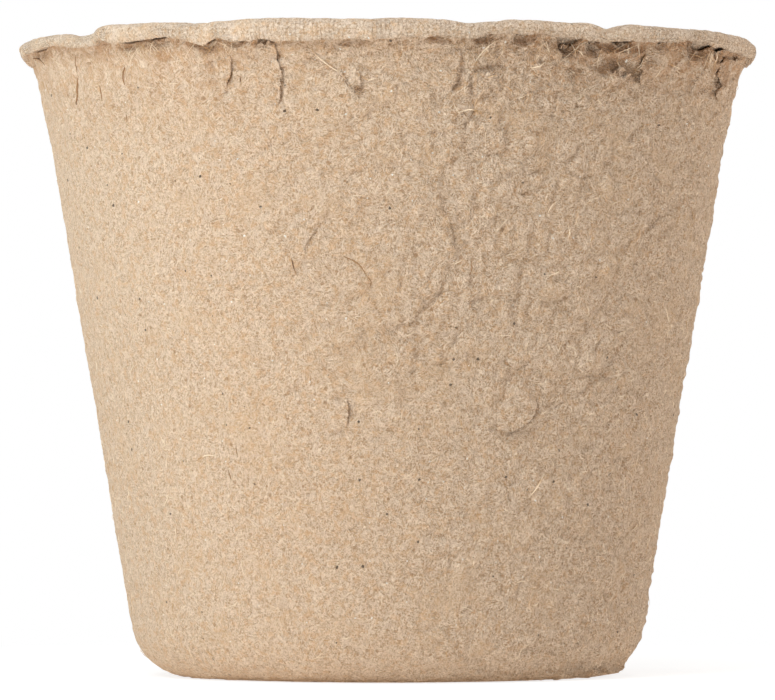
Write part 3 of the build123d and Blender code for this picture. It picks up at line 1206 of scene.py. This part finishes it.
@dataclass
class PotFloor:
    """Disc that the pot stands on, with its drain hole."""

    columns: int = 256
    rows: int = 56
    reliefs: tuple[Relief, ...] = (Relief(7.0, 0.25), Relief(1.3, 0.10))

    def profile(self) -> Profile:
        """Section of the disc.

        Returns:
            Radius and height of each point: out along the top and back along the underside.
        """
        first = POT.drain_radius
        reach = POT.floor_radius - first
        radii = [first + reach * row / self.rows for row in range(self.rows + 1)]
        top = [(radius, POT.floor_thickness) for radius in radii]
        return top + [(radius, 0.0) for radius in reversed(radii)]

    def build(self, material: bpy.types.Material) -> None:
        """Models the floor with the given finish."""
        disc = Bench.spun_shell("pot_floor", self.profile(), self.columns)
        for relief in self.reliefs:
            relief.add(disc)
        Bench.apply_modifiers(disc)
        places = Bench.points(disc)
        places[:, 2] = np.maximum(places[:, 2], 0.0)
        Bench.move_points(disc, places)
        Bench.lay_map(disc, places[:, 0], places[:, 1], 0.0)
        Bench.shade_smooth(disc)
        Bench.finish(disc, material, Slot.FLOOR, "floor")


@dataclass(frozen=True)
class Flake:
    """Thin sheet of pulp that grows out of the wall and stands free along one edge.

    The outline is given by the bearing and the height of its corners; height, swell, lift and the depth to
    which the other edges sink are in millimetres.
    """

    node: str
    edge: Edge
    outline: Route
    swell: float = 0.25
    lift: float = 0.30
    sunk: float = 0.30
    part: str = "sheet"
    sheet: float = 0.22 * MM
    ragged: float = 0.10
    cells: int = 48
    relief: Relief = Relief(1.2, 0.22)

    def build(self, probe: WallProbe, material: bpy.types.Material) -> None:
        """Models the flake on the shaped wall.

        Args:
            probe: Probe of the wall.
            material: Finish of the flake.
        """
        sheet = self.model(probe)
        Bench.finish(sheet, material, Slot.FLAKE, self.node)

    def model(self, probe: WallProbe) -> bpy.types.Object:
        """Lays a grid on the wall inside the outline and gives it thickness.

        Args:
            probe: Probe of the wall.

        Returns:
            The mapped and shaded sheet.
        """
        Bench.clear()
        bpy.ops.mesh.primitive_grid_add(x_subdivisions=self.cells, y_subdivisions=self.cells, size=2.0)
        sheet = bpy.context.object
        sheet.name = sheet.data.name = f"{self.node}_{self.part}"
        square = Bench.points(sheet)
        out = np.maximum(np.abs(square[:, 0]), np.abs(square[:, 1]))
        angle = np.arctan2(square[:, 1], square[:, 0])
        reach = self.reach(angle) * out
        free = smooth(0.15, 0.75, np.cos(angle - math.radians(self.edge.value))) * smooth(0.1, 0.7, out)
        held = self.swell * (1.0 - out ** 2) - self.sunk * out ** 4
        loose = self.swell + self.lift * out ** 3
        rise = (held + (loose - held) * free) * MM
        middle = np.mean(self.outline, axis=0)
        height = middle[1] * MM + reach * np.sin(angle)
        bearing = middle[0] + np.degrees(reach * np.cos(angle) / POT.wall_radius(middle[1] * MM))
        places = [probe.place(*row) for row in zip(bearing, height, rise)]
        Bench.move_points(sheet, np.array(places))
        thick = sheet.modifiers.new("thick", "SOLIDIFY")
        thick.thickness = self.sheet
        thick.offset = -1.0
        self.relief.add(sheet)
        Bench.apply_modifiers(sheet)
        bearing, _, height = polar(Bench.points(sheet))
        Bench.wrap_map(sheet, MIDDLE_RADIUS, height)
        # Torn tone, partly painted shade under the lip.
        Bench.paint(sheet, TORN_AND_SHADE, torn_and_shade_share(bearing, height))
        Bench.paint(sheet, COARSE, coarseness(bearing))
        Bench.shade_smooth(sheet)
        return sheet

    def reach(self, angle: np.ndarray) -> np.ndarray:
        """Distance from the middle to the torn outline at each angle."""
        middle = np.mean(self.outline, axis=0)
        scale = np.array([math.radians(1.0) * POT.wall_radius(middle[1] * MM), MM])
        corners = (np.array(self.outline) - middle) * scale
        turns = np.arctan2(corners[:, 1], corners[:, 0])
        order = np.argsort(turns)
        after = np.searchsorted(turns[order], angle) % len(order)
        first, last = corners[order][after - 1], corners[order][after]
        side = last - first
        span = first[:, 0] * last[:, 1] - first[:, 1] * last[:, 0]
        plain = span / (np.cos(angle) * side[:, 1] - np.sin(angle) * side[:, 0])
        seed = float(sum(map(ord, self.node)))
        torn = ripple(np.degrees(angle), 0.04, seed) + ripple(np.degrees(angle), 0.14, seed)
        return plain * (1.0 + self.ragged * torn)


FLAKES = (
    Flake("flap_top_left", Edge.RIGHT, (
        (-17.4, 90.6), (-17.2, 88.6), (-16.8, 86.7), (-17.0, 84.4), (-17.9, 82.0), (-20.0, 81.4),
        (-23.0, 83.4), (-23.6, 87.0), (-21.5, 90.6),
    ), 0.15, 0.15),
    Flake("knot_top_left", Edge.RIGHT, (
        (-24.8, 89.2), (-25.4, 86.8), (-26.4, 84.2), (-27.8, 83.8), (-28.6, 86.0), (-29.2, 88.6),
        (-27.0, 89.8),
    ), 0.15, 0.12),
    Flake("fold_top_centre", Edge.LOWER_RIGHT, (
        (-12.8, 90.4), (-11.2, 89.0), (-9.2, 87.6), (-7.0, 86.2), (-5.4, 84.6), (-4.8, 83.2),
        (-4.2, 84.6), (-4.4, 86.4), (-6.0, 88.4), (-8.5, 90.2),
    ), 0.2, 0.25),
    Flake("flap_top_centre", Edge.RIGHT, (
        (10.9, 90.4), (11.3, 88.4), (10.9, 86.2), (10.2, 84.0), (8.2, 83.6), (6.4, 85.4), (6.0, 88.4),
        (8.0, 90.6),
    ), 0.12, 0.15),
    Flake("flake_top_right", Edge.UPPER_LEFT, (
        (14.4, 86.4), (14.0, 85.2), (14.4, 82.6), (15.0, 80.2), (17.4, 80.2), (20.2, 82.6), (20.0, 84.8),
        (17.4, 87.2),
    ), 0.28, 0.4),
    Flake("flap_right", Edge.UPPER, (
        (36.0, 84.3), (36.2, 85.4), (37.0, 85.7), (37.6, 86.6), (38.2, 87.5), (38.9, 87.2), (39.2, 88.2),
        (40.5, 86.8), (40.9, 87.6), (41.9, 87.2), (43.2, 86.7), (44.0, 86.1), (44.6, 85.5), (43.7, 84.6),
        (41.4, 83.9), (38.2, 83.7),
    ), 0.25, 0.55, ragged=0.03, cells=72),
    Flake("flap_right", Edge.LEFT, (
        (44.3, 86.3), (44.0, 87.7), (43.8, 88.8), (43.7, 89.7), (45.1, 90.0), (48.0, 89.3), (50.3, 88.0),
        (50.0, 86.6), (48.0, 85.6), (45.6, 85.4),
    ), 0.25, 0.45, part="side"),
    Flake("flap_far_right", Edge.LEFT, (
        (69.8, 90.8), (68.4, 89.6), (67.5, 88.6), (69.9, 87.3), (68.4, 85.1), (71.0, 84.6), (75.0, 86.4),
        (80.0, 87.9), (88.0, 88.3), (92.0, 89.4), (86.0, 91.0), (78.0, 91.2),
    ), 0.22, 0.15),
    Flake("tuft_far_left", Edge.UPPER, (
        (-86.0, 90.6), (-80.0, 90.3), (-75.4, 89.6), (-75.0, 88.6), (-79.0, 88.0), (-85.0, 88.4),
        (-88.0, 89.4),
    ), 0.08, 0.05),
    Flake("ridge_upper", Edge.RIGHT, (
        (8.8, 69.4), (10.2, 66.4), (11.4, 63.6), (11.9, 61.2), (10.2, 60.8), (7.8, 63.6), (6.6, 67.0),
        (7.2, 70.2),
    ), 0.12, 0.02),
    Flake("ridge_centre", Edge.LOWER_RIGHT, (
        (9.4, 57.8), (9.4, 56.4), (6.3, 53.6), (3.7, 51.4), (0.6, 50.6), (-2.6, 53.4), (-3.2, 57.2),
        (0.2, 59.6), (3.4, 61.0), (7.4, 60.4),
    ), 0.15, 0.0),
    Flake("flake_left_high", Edge.LOWER_RIGHT, (
        (-11.2, 65.8), (-13.8, 62.8), (-14.5, 61.2), (-16.4, 61.4), (-18.0, 64.0), (-16.4, 66.6),
        (-13.2, 67.4),
    ), 0.12, 0.05),
    Flake("flake_right_high", Edge.LOWER_RIGHT, (
        (56.6, 68.8), (54.4, 67.2), (52.6, 66.0), (51.2, 64.9), (49.2, 66.0), (48.2, 69.0), (50.5, 71.0),
        (54.5, 70.8),
    ), 0.15, 0.1),
    Flake("flake_right_mid", Edge.LOWER_RIGHT, (
        (18.2, 40.8), (20.8, 42.4), (24.4, 42.8), (27.8, 42.4), (29.5, 40.4), (29.2, 39.3), (28.3, 38.3),
        (27.3, 37.5), (25.9, 36.7), (24.5, 36.2), (23.0, 36.2), (21.3, 36.4), (18.7, 36.7), (17.3, 38.8),
    ), 0.3, 0.3, ragged=0.04),
    Flake("flake_right_low", Edge.LOWER_RIGHT, (
        (45.9, 46.4), (44.8, 45.0), (43.1, 44.3), (40.5, 44.4), (39.4, 46.0), (41.4, 47.6), (44.6, 47.6),
    ), 0.15, 0.1),
    Flake("flake_centre_low", Edge.RIGHT, (
        (-7.7, 40.8), (-7.3, 39.0), (-7.6, 37.2), (-8.8, 35.8), (-11.0, 36.0), (-12.2, 38.0),
        (-11.2, 40.4), (-9.2, 41.2),
    ), 0.18, 0.1),
    Flake("chip_low", Edge.LOWER_RIGHT, (
        (17.8, 11.6), (16.4, 10.4), (14.6, 10.4), (14.0, 11.6), (15.2, 12.6), (17.0, 12.6),
    ), 0.12, 0.08),
)


@dataclass
class BackFlakes:
    """Flakes of the far side, one below the other, joined into one piece."""

    node: str = "back_flakes"
    count: int = 9
    first_bearing: float = 116.0
    turn: float = 47.0
    span: float = 130.0
    lowest: float = 14.5
    highest: float = 82.0
    half_width: float = 2.5
    half_length: float = 3.0

    def build(self, probe: WallProbe, material: bpy.types.Material) -> None:
        """Models the flakes.

        Args:
            probe: Probe of the wall.
            material: Finish of the flakes.
        """
        edges = list(Edge)
        sheets = []
        for step in range(self.count):
            bearing = self.first_bearing + step * self.turn % self.span
            height = self.lowest + (self.highest - self.lowest) * step / (self.count - 1)
            outline = self.outline(bearing, height, step)
            sheets.append(Flake(f"{self.node}_{step}", edges[step % len(edges)], outline).model(probe))
        Bench.clear()
        for sheet in sheets:
            sheet.select_set(True)
        bpy.context.view_layer.objects.active = sheets[0]
        bpy.ops.object.join()
        sheets[0].name = sheets[0].data.name = f"{self.node}_sheets"
        Bench.finish(sheets[0], material, Slot.FLAKE, self.node)

    def outline(self, bearing: float, height: float, step: int) -> Route:
        """Uneven outline round a middle point.

        Args:
            bearing: Bearing of the middle.
            height: Height of the middle in millimetres.
            step: Number of the flake, which changes its shape.

        Returns:
            Bearing and height of each corner.
        """
        degree = math.radians(1.0) * POT.wall_radius(height * MM) / MM
        corners = []
        for turn in range(0, 360, 40):
            swell = 1.0 + 0.25 * math.cos(math.radians(2 * turn + 70 * step))
            right = swell * self.half_width * math.cos(math.radians(turn))
            up = swell * self.half_length * math.sin(math.radians(turn))
            corners.append((bearing + right / degree, height + up))
        return tuple(corners)


@dataclass
class LooseFibres:
    """Fibres that lie on the felt, stand off it, or bridge the gap under the lip."""

    node: str = "coarse_fibres"
    count: int = 1800
    bridges: int = 90
    thickness: float = 0.045 * MM
    seed: int = 11

    coarse: tuple[tuple[float, float, float, float], ...] = (
        (31.0, 0.32, 0.80, 40.0),
        (64.0, 0.59, 1.00, -35.0),
        (-38.0, 0.375, 0.84, 58.0),
        (140.0, 0.545, 1.00, 24.0),
        (-130.0, 0.75, 1.00, -48.0),
    )
    coarse_length: float = 5.0 * MM
    bark: tuple[tuple[float, Route], ...] = (
        (2.2, ((-7.7, 60.8), (-6.0, 60.2), (-4.7, 59.4), (-3.6, 58.0))),
        (1.8, ((3.8, 60.6), (4.1, 59.6), (4.2, 58.6))),
        (2.2, ((-16.9, 60.6), (-16.7, 59.4), (-16.3, 58.2))),
        (1.8, ((14.8, 60.2), (14.9, 59.2), (14.6, 58.2))),
        (1.6, ((-58.9, 90.6), (-59.6, 89.4), (-60.3, 88.0))),
        (3.8, ((-60.5, 87.4), (-61.3, 86.2), (-61.6, 85.3), (-62.6, 83.7))),
        (2.4, ((-53.8, 86.0), (-53.9, 85.0), (-53.9, 83.8))),
        (3.0, ((-46.7, 88.3), (-47.0, 87.2), (-47.3, 85.8))),
        (1.8, ((-47.8, 81.6), (-48.2, 80.5))),
        (2.0, ((-23.8, 86.2), (-23.9, 85.3))),
        (3.0, ((-80.0, 91.4), (-76.0, 91.1), (-73.8, 90.6), (-72.8, 90.0))),
        (2.2, ((-25.4, 86.8), (-26.1, 85.4), (-26.8, 84.1))),
        (2.0, ((-28.7, 88.5), (-27.5, 87.8), (-26.4, 87.1))),
        (1.8, ((-3.6, 58.0), (-2.9, 57.2), (-3.2, 56.4))),
        (1.8, ((-30.6, 34.0), (-30.2, 32.4))),
        (1.8, ((-32.8, 30.6), (-32.2, 29.0))),
    )
    strands: tuple[tuple[float, float, Route], ...] = (
        (1.8, 0.60, ((15.3, 85.6), (16.4, 86.1), (17.7, 86.3))),
        (1.8, 0.20, ((11.2, 80.9), (13.3, 81.4), (15.3, 81.1))),
        (1.6, 0.20, ((13.9, 85.1), (14.6, 83.8), (14.2, 82.1), (14.7, 80.6))),
        (1.6, 0.40, ((18.8, 84.7), (19.7, 84.4), (20.4, 83.6))),
        (1.8, 0.20, ((22.7, 87.4), (24.2, 87.6), (25.6, 88.3))),
        (1.8, 0.50, ((38.9, 89.6), (39.7, 88.5), (40.9, 87.4))),
        (1.6, 0.50, ((43.6, 89.9), (43.8, 88.8), (44.0, 87.4))),
        (1.6, 0.40, ((49.1, 88.2), (48.5, 87.6), (48.1, 86.7))),
        (1.8, 0.40, ((30.3, 90.5), (31.0, 89.8), (32.0, 89.2))),
        (1.6, 0.20, ((29.8, 87.7), (30.3, 87.2), (31.2, 86.8))),
        (1.8, 0.30, ((-12.3, 90.6), (-11.3, 89.2), (-9.9, 88.0), (-8.4, 87.0), (-6.8, 86.3), (-5.5, 85.6))),
        (1.6, 0.20, ((-4.2, 86.0), (-3.0, 85.4), (-1.7, 85.7))),
        (1.6, 0.30, ((56.8, 90.9), (59.3, 90.4), (61.7, 90.7))),
        (1.6, 0.20, ((51.4, 89.4), (53.6, 88.7), (55.5, 87.7))),
    )
    clusters: tuple[float, ...] = (
        -45.0, -43.0, -41.0, -39.0, -37.0, -29.0, -24.0, 16.0, 22.0, 31.0, 40.0, 62.0,
    )

    def build(self, probe: WallProbe, material: bpy.types.Material, bark: bpy.types.Material) -> None:
        """Models the fibres as thin tubes.

        Args:
            probe: Probe of the wall.
            material: Finish of the pale fibres.
            bark: Finish of the dark ones.
        """
        chance = random.Random(self.seed)
        lines = self.curve("loose_fibres")
        for bearing, share, length, lean in self.coarse:
            height, reach = share * POT.seat, length * self.coarse_length
            self.draw(lines, self.lying(chance, probe, bearing, height, lean, reach, 0.08 * MM), 2.0)
        for _ in range(self.count):
            bearing = chance.uniform(-180.0, 180.0)
            height = chance.uniform(3.0 * MM, 89.0 * MM)
            length = chance.uniform(0.8 * MM, 2.6 * MM)
            lift = 0.22 * MM if chance.random() < 0.08 else 0.03 * MM
            route = self.lying(chance, probe, bearing, height, chance.uniform(0.0, 360.0), length, lift)
            self.draw(lines, route, chance.uniform(0.5, 1.3))
        for index in range(self.bridges):
            bearing = chance.uniform(-180.0, 180.0)
            if index % 2 or 68.0 < abs(bearing) < 112.0:
                bearing = chance.choice(self.clusters) + chance.gauss(0.0, 1.8)
            self.draw(lines, self.bridging(chance, probe, bearing), chance.uniform(0.5, 1.1))
        for width, stand, route in self.strands:
            self.draw(lines, self.traced(probe, route, stand * MM), width)
        self.solidify(lines, material)
        dark = self.curve("bark_fibres")
        for width, route in self.bark:
            self.draw(dark, self.traced(probe, route, 0.0), width)
        self.solidify(dark, bark)

    @staticmethod
    def traced(probe: WallProbe, route: Route, stand: float) -> list[Vector]:
        """Smooth line on the wall through given points.

        Args:
            probe: Probe of the wall.
            route: Bearing and height in millimetres of each point.
            stand: How far its middle stands off the wall.

        Returns:
            Points of the line.
        """
        points = smooth_line(np.array(route), 0.3)
        shares = np.linspace(0.0, 1.0, len(points))
        lifts = 0.04 * MM + 4.0 * stand * shares * (1.0 - shares)
        return [probe.place(turn, high * MM, lift) for (turn, high), lift in zip(points, lifts)]

    def curve(self, name: str) -> bpy.types.Curve:
        """Starts a curve that is drawn as round threads."""
        lines = bpy.data.curves.new(name, "CURVE")
        lines.dimensions = "3D"
        lines.bevel_depth = self.thickness
        lines.bevel_resolution = 0
        lines.use_fill_caps = True
        return lines

    def solidify(self, lines: bpy.types.Curve, material: bpy.types.Material) -> None:
        """Turns the threads into a finished mesh.

        Args:
            lines: Curve with the threads.
            material: Their finish.
        """
        piece = bpy.data.objects.new(lines.name, lines)
        bpy.context.scene.collection.objects.link(piece)
        Bench.pick(piece)
        bpy.ops.object.convert(target="MESH")
        fibres = bpy.context.object
        Bench.shade_smooth(fibres)
        Bench.finish(fibres, material, Slot.FIBRE, self.node)

    @staticmethod
    def draw(lines: bpy.types.Curve, route: list[Vector], width: float) -> None:
        """Adds one fibre that thins out at its ends.

        Args:
            lines: Curve that holds the fibres.
            route: Points of the fibre.
            width: Share of the usual thickness.
        """
        spline = lines.splines.new("POLY")
        spline.points.add(len(route) - 1)
        for number, (point, place) in enumerate(zip(spline.points, route)):
            point.co = (*place, 1.0)
            share = number / (len(route) - 1)
            point.radius = width * (0.35 + 2.6 * share * (1.0 - share))

    @staticmethod
    def lying(
        chance: random.Random, probe: WallProbe, bearing: float, height: float, lean: float, length: float,
        lift: float,
    ) -> list[Vector]:
        """Route of a fibre that lies on the wall.

        Args:
            chance: Source of the random bends.
            probe: Probe of the wall.
            bearing: Bearing of its middle.
            height: Height of its middle.
            lean: Angle from upright, in degrees.
            length: Length of the fibre.
            lift: How far its middle stands off the wall.

        Returns:
            Points of the fibre.
        """
        steps = 6
        heading = math.radians(lean)
        bend = math.radians(chance.uniform(-14.0, 14.0))
        right, up = -0.5 * length * math.sin(heading), -0.5 * length * math.cos(heading)
        degree = math.radians(1.0) * POT.wall_radius(height)
        route = []
        for step in range(steps):
            share = step / (steps - 1)
            stand = 4.0 * lift * share * (1.0 - share) + 0.01 * MM
            top = min(max(height + up, 1.0 * MM), 90.0 * MM)
            route.append(probe.place(bearing + right / degree, top, stand))
            right += length / (steps - 1) * math.sin(heading)
            up += length / (steps - 1) * math.cos(heading)
            heading += bend
        return route

    @staticmethod
    def bridging(chance: random.Random, probe: WallProbe, bearing: float) -> list[Vector]:
        """Route of a fibre from under the lip's edge down to the wall.

        Args:
            chance: Source of the random places.
            probe: Probe of the wall.
            bearing: Bearing of its upper end.

        Returns:
            Points of the fibre.
        """
        rise = float(lip_rise(np.array([bearing]))[0])
        outwards = away_from_axis(bearing)
        upper = outwards * (POT.edge_radius - chance.uniform(0.5, 1.3) * MM)
        upper.z = 91.2 * MM + rise
        foot = bearing + chance.gauss(0.0, 2.0)
        lower = probe.place(foot, 90.6 * MM + rise - chance.uniform(0.8, 3.0) * MM, 0.03 * MM)
        sag = outwards * chance.uniform(0.0, 0.5) * MM
        sag += Vector((-outwards.y, outwards.x, 0.0)) * chance.gauss(0.0, 0.45) * MM
        return [upper.lerp(lower, step / 7) + sag * 4.0 * step / 7 * (1.0 - step / 7) for step in range(8)]


@dataclass(frozen=True)
class Lamp:
    """Soft square lamp that points at the pot: its place round it in degrees, distance, side and watts."""

    name: str
    bearing: float
    rise: float
    away: float
    size: float
    power: float
    colour: Colour

    def hang(self) -> None:
        """Adds the lamp to the scene."""
        data = bpy.data.lights.new(self.name, "AREA")
        data.size = self.size
        data.energy = self.power
        data.color = self.colour
        lamp = bpy.data.objects.new(self.name, data)
        tilt = math.radians(self.rise)
        towards = away_from_axis(self.bearing) * math.cos(tilt) + Vector((0.0, 0.0, math.sin(tilt)))
        lamp.location = Vector((0.0, 0.0, 0.5 * POT.height)) + towards * self.away
        lamp.rotation_euler = towards.to_track_quat("Z", "Y").to_euler()
        bpy.context.scene.collection.objects.link(lamp)


@dataclass
class Studio:
    """Camera, soft lights and the white floor."""

    distance: float = 852.4 * MM
    eye_height: float = 30.6 * MM
    lens: float = 265.2
    tilt: float = math.radians(1.204)
    lamps: tuple[Lamp, ...] = (
        Lamp("key", -28.0, 38.0, 0.8, 0.34, 4.34, (0.83, 0.94, 1.0)),
        Lamp("side", 103.0, 26.0, 1.0, 0.36, 3.95, (0.98, 0.96, 0.92)),
        Lamp("top", 10.0, 66.0, 0.9, 0.50, 3.5, (1.0, 0.98, 0.96)),
        Lamp("rim", -110.0, 12.0, 1.0, 0.50, 4.2, (0.74, 0.93, 1.0)),
    )

    def build(self) -> None:
        """Sets up camera, world, lamps and floor."""
        self.camera()
        self.world()
        for lamp in self.lamps:
            lamp.hang()
        self.floor()
        bpy.context.scene.view_settings.view_transform = "Standard"

    def camera(self) -> None:
        """Adds the camera at the photograph's viewing angle."""
        data = bpy.data.cameras.new("camera")
        data.sensor_fit = "HORIZONTAL"
        data.sensor_width = 36.0
        data.lens = self.lens
        data.clip_start = 0.02
        camera = bpy.data.objects.new("camera", data)
        camera.location = (0.0, -self.distance, self.eye_height)
        camera.rotation_euler = (0.5 * math.pi + self.tilt, 0.0, 0.0)
        bpy.context.scene.collection.objects.link(camera)
        bpy.context.scene.camera = camera

    def world(self) -> None:
        """White behind the pot, and a soft even light on it."""
        bench = NodeBench(bpy.data.worlds.new("studio"))
        bpy.context.scene.world = bench.owner
        light = bench.add("Background", {"Color": (1.0, 0.92, 0.86, 1.0), "Strength": 0.30})
        white = bench.add("Background", {"Color": (1.0, 1.0, 1.0, 1.0), "Strength": 1.0})
        seen = self.seen_directly(bench)
        mix = bench.add("MixShader", {0: seen, 1: light.outputs[0], 2: white.outputs[0]})
        bench.add("OutputWorld", {"Surface": mix.outputs[0]})

    @staticmethod
    def seen_directly(bench: NodeBench) -> Socket:
        """Socket that is 1 for camera, glossy and transmission rays."""
        path = bench.add("LightPath", {}).outputs
        mirrored = bench.math("MAXIMUM", path["Is Camera Ray"], path["Is Glossy Ray"])
        return bench.math("MAXIMUM", mirrored, path["Is Transmission Ray"])

    def floor(self) -> None:
        """Adds the floor: it keeps the shadow near the pot and is white further away."""
        Bench.clear()
        bpy.ops.mesh.primitive_circle_add(vertices=96, radius=6.0, fill_type="NGON")
        floor = bpy.context.object
        floor.name = floor.data.name = "studio_floor"
        bpy.ops.object.mode_set(mode="EDIT")
        bpy.ops.mesh.select_all(action="SELECT")
        bpy.ops.transform.translate(value=(0.0, 0.0, -0.02 * MM))
        bpy.ops.object.mode_set(mode="OBJECT")
        bench = NodeBench(bpy.data.materials.new("studio_white"))
        matt = bench.add("BsdfDiffuse", {"Color": (0.86, 0.86, 0.86, 1.0)})
        dim = bench.add("BsdfDiffuse", {"Color": (0.30, 0.30, 0.30, 1.0)})
        glow = bench.add("Emission", {"Color": (1.0, 1.0, 1.0, 1.0), "Strength": 0.78})
        near = bench.add("AddShader", {0: dim.outputs[0], 1: glow.outputs[0]})
        white = bench.add("Emission", {"Color": (1.0, 1.0, 1.0, 1.0), "Strength": 1.0})
        place = bench.add("TexCoord", {}).outputs["Object"]
        away = bench.add("VectorMath", {0: place}, operation="LENGTH").outputs["Value"]
        far = bench.step(away, 0.06, 0.16)
        seen = bench.add("MixShader", {0: far, 1: near.outputs[0], 2: white.outputs[0]})
        path = self.seen_directly(bench)
        table = bench.add("Emission", {"Color": (1.0, 0.89, 0.75, 1.0), "Strength": 0.57})
        lit = bench.add("AddShader", {0: matt.outputs[0], 1: table.outputs[0]})
        shown = bench.add("MixShader", {0: path, 1: lit.outputs[0], 2: seen.outputs[0]})
        bench.add("OutputMaterial", {"Surface": shown.outputs[0]})
        floor.data.materials.append(bench.owner)


def main() -> None:
    """Builds the pot's looks piece by piece and sets the studio round it."""
    logging.basicConfig(level=logging.INFO, format="%(message)s")
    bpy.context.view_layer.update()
    felt = PulpFinish("felt_pulp", (0.745, 0.545, 0.382)).build()
    screen = PulpFinish("screen_pulp", (0.75, 0.55, 0.385), weave=0.45).build()
    # The lip's tan is lighter than the wall's: partly its smoother screen side, partly painted light on its
    # face.
    rim = PulpFinish("lip_finish", (0.83, 0.635, 0.47), weave=0.60).build()
    plain, probe = FeltWall().build(felt)
    Lip().build(rim)
    ScreenWall().build(screen)
    PotFloor().build(felt)
    for flake in FLAKES:
        flake.build(plain, felt)
    BackFlakes().build(plain, felt)
    bark = FibreFinish("bark_fibre", (0.34, 0.19, 0.09), (0.16, 0.09, 0.05))
    LooseFibres().build(probe, FibreFinish().build(), bark.build())
    Studio().build()


if __name__ == "__main__":
    main()
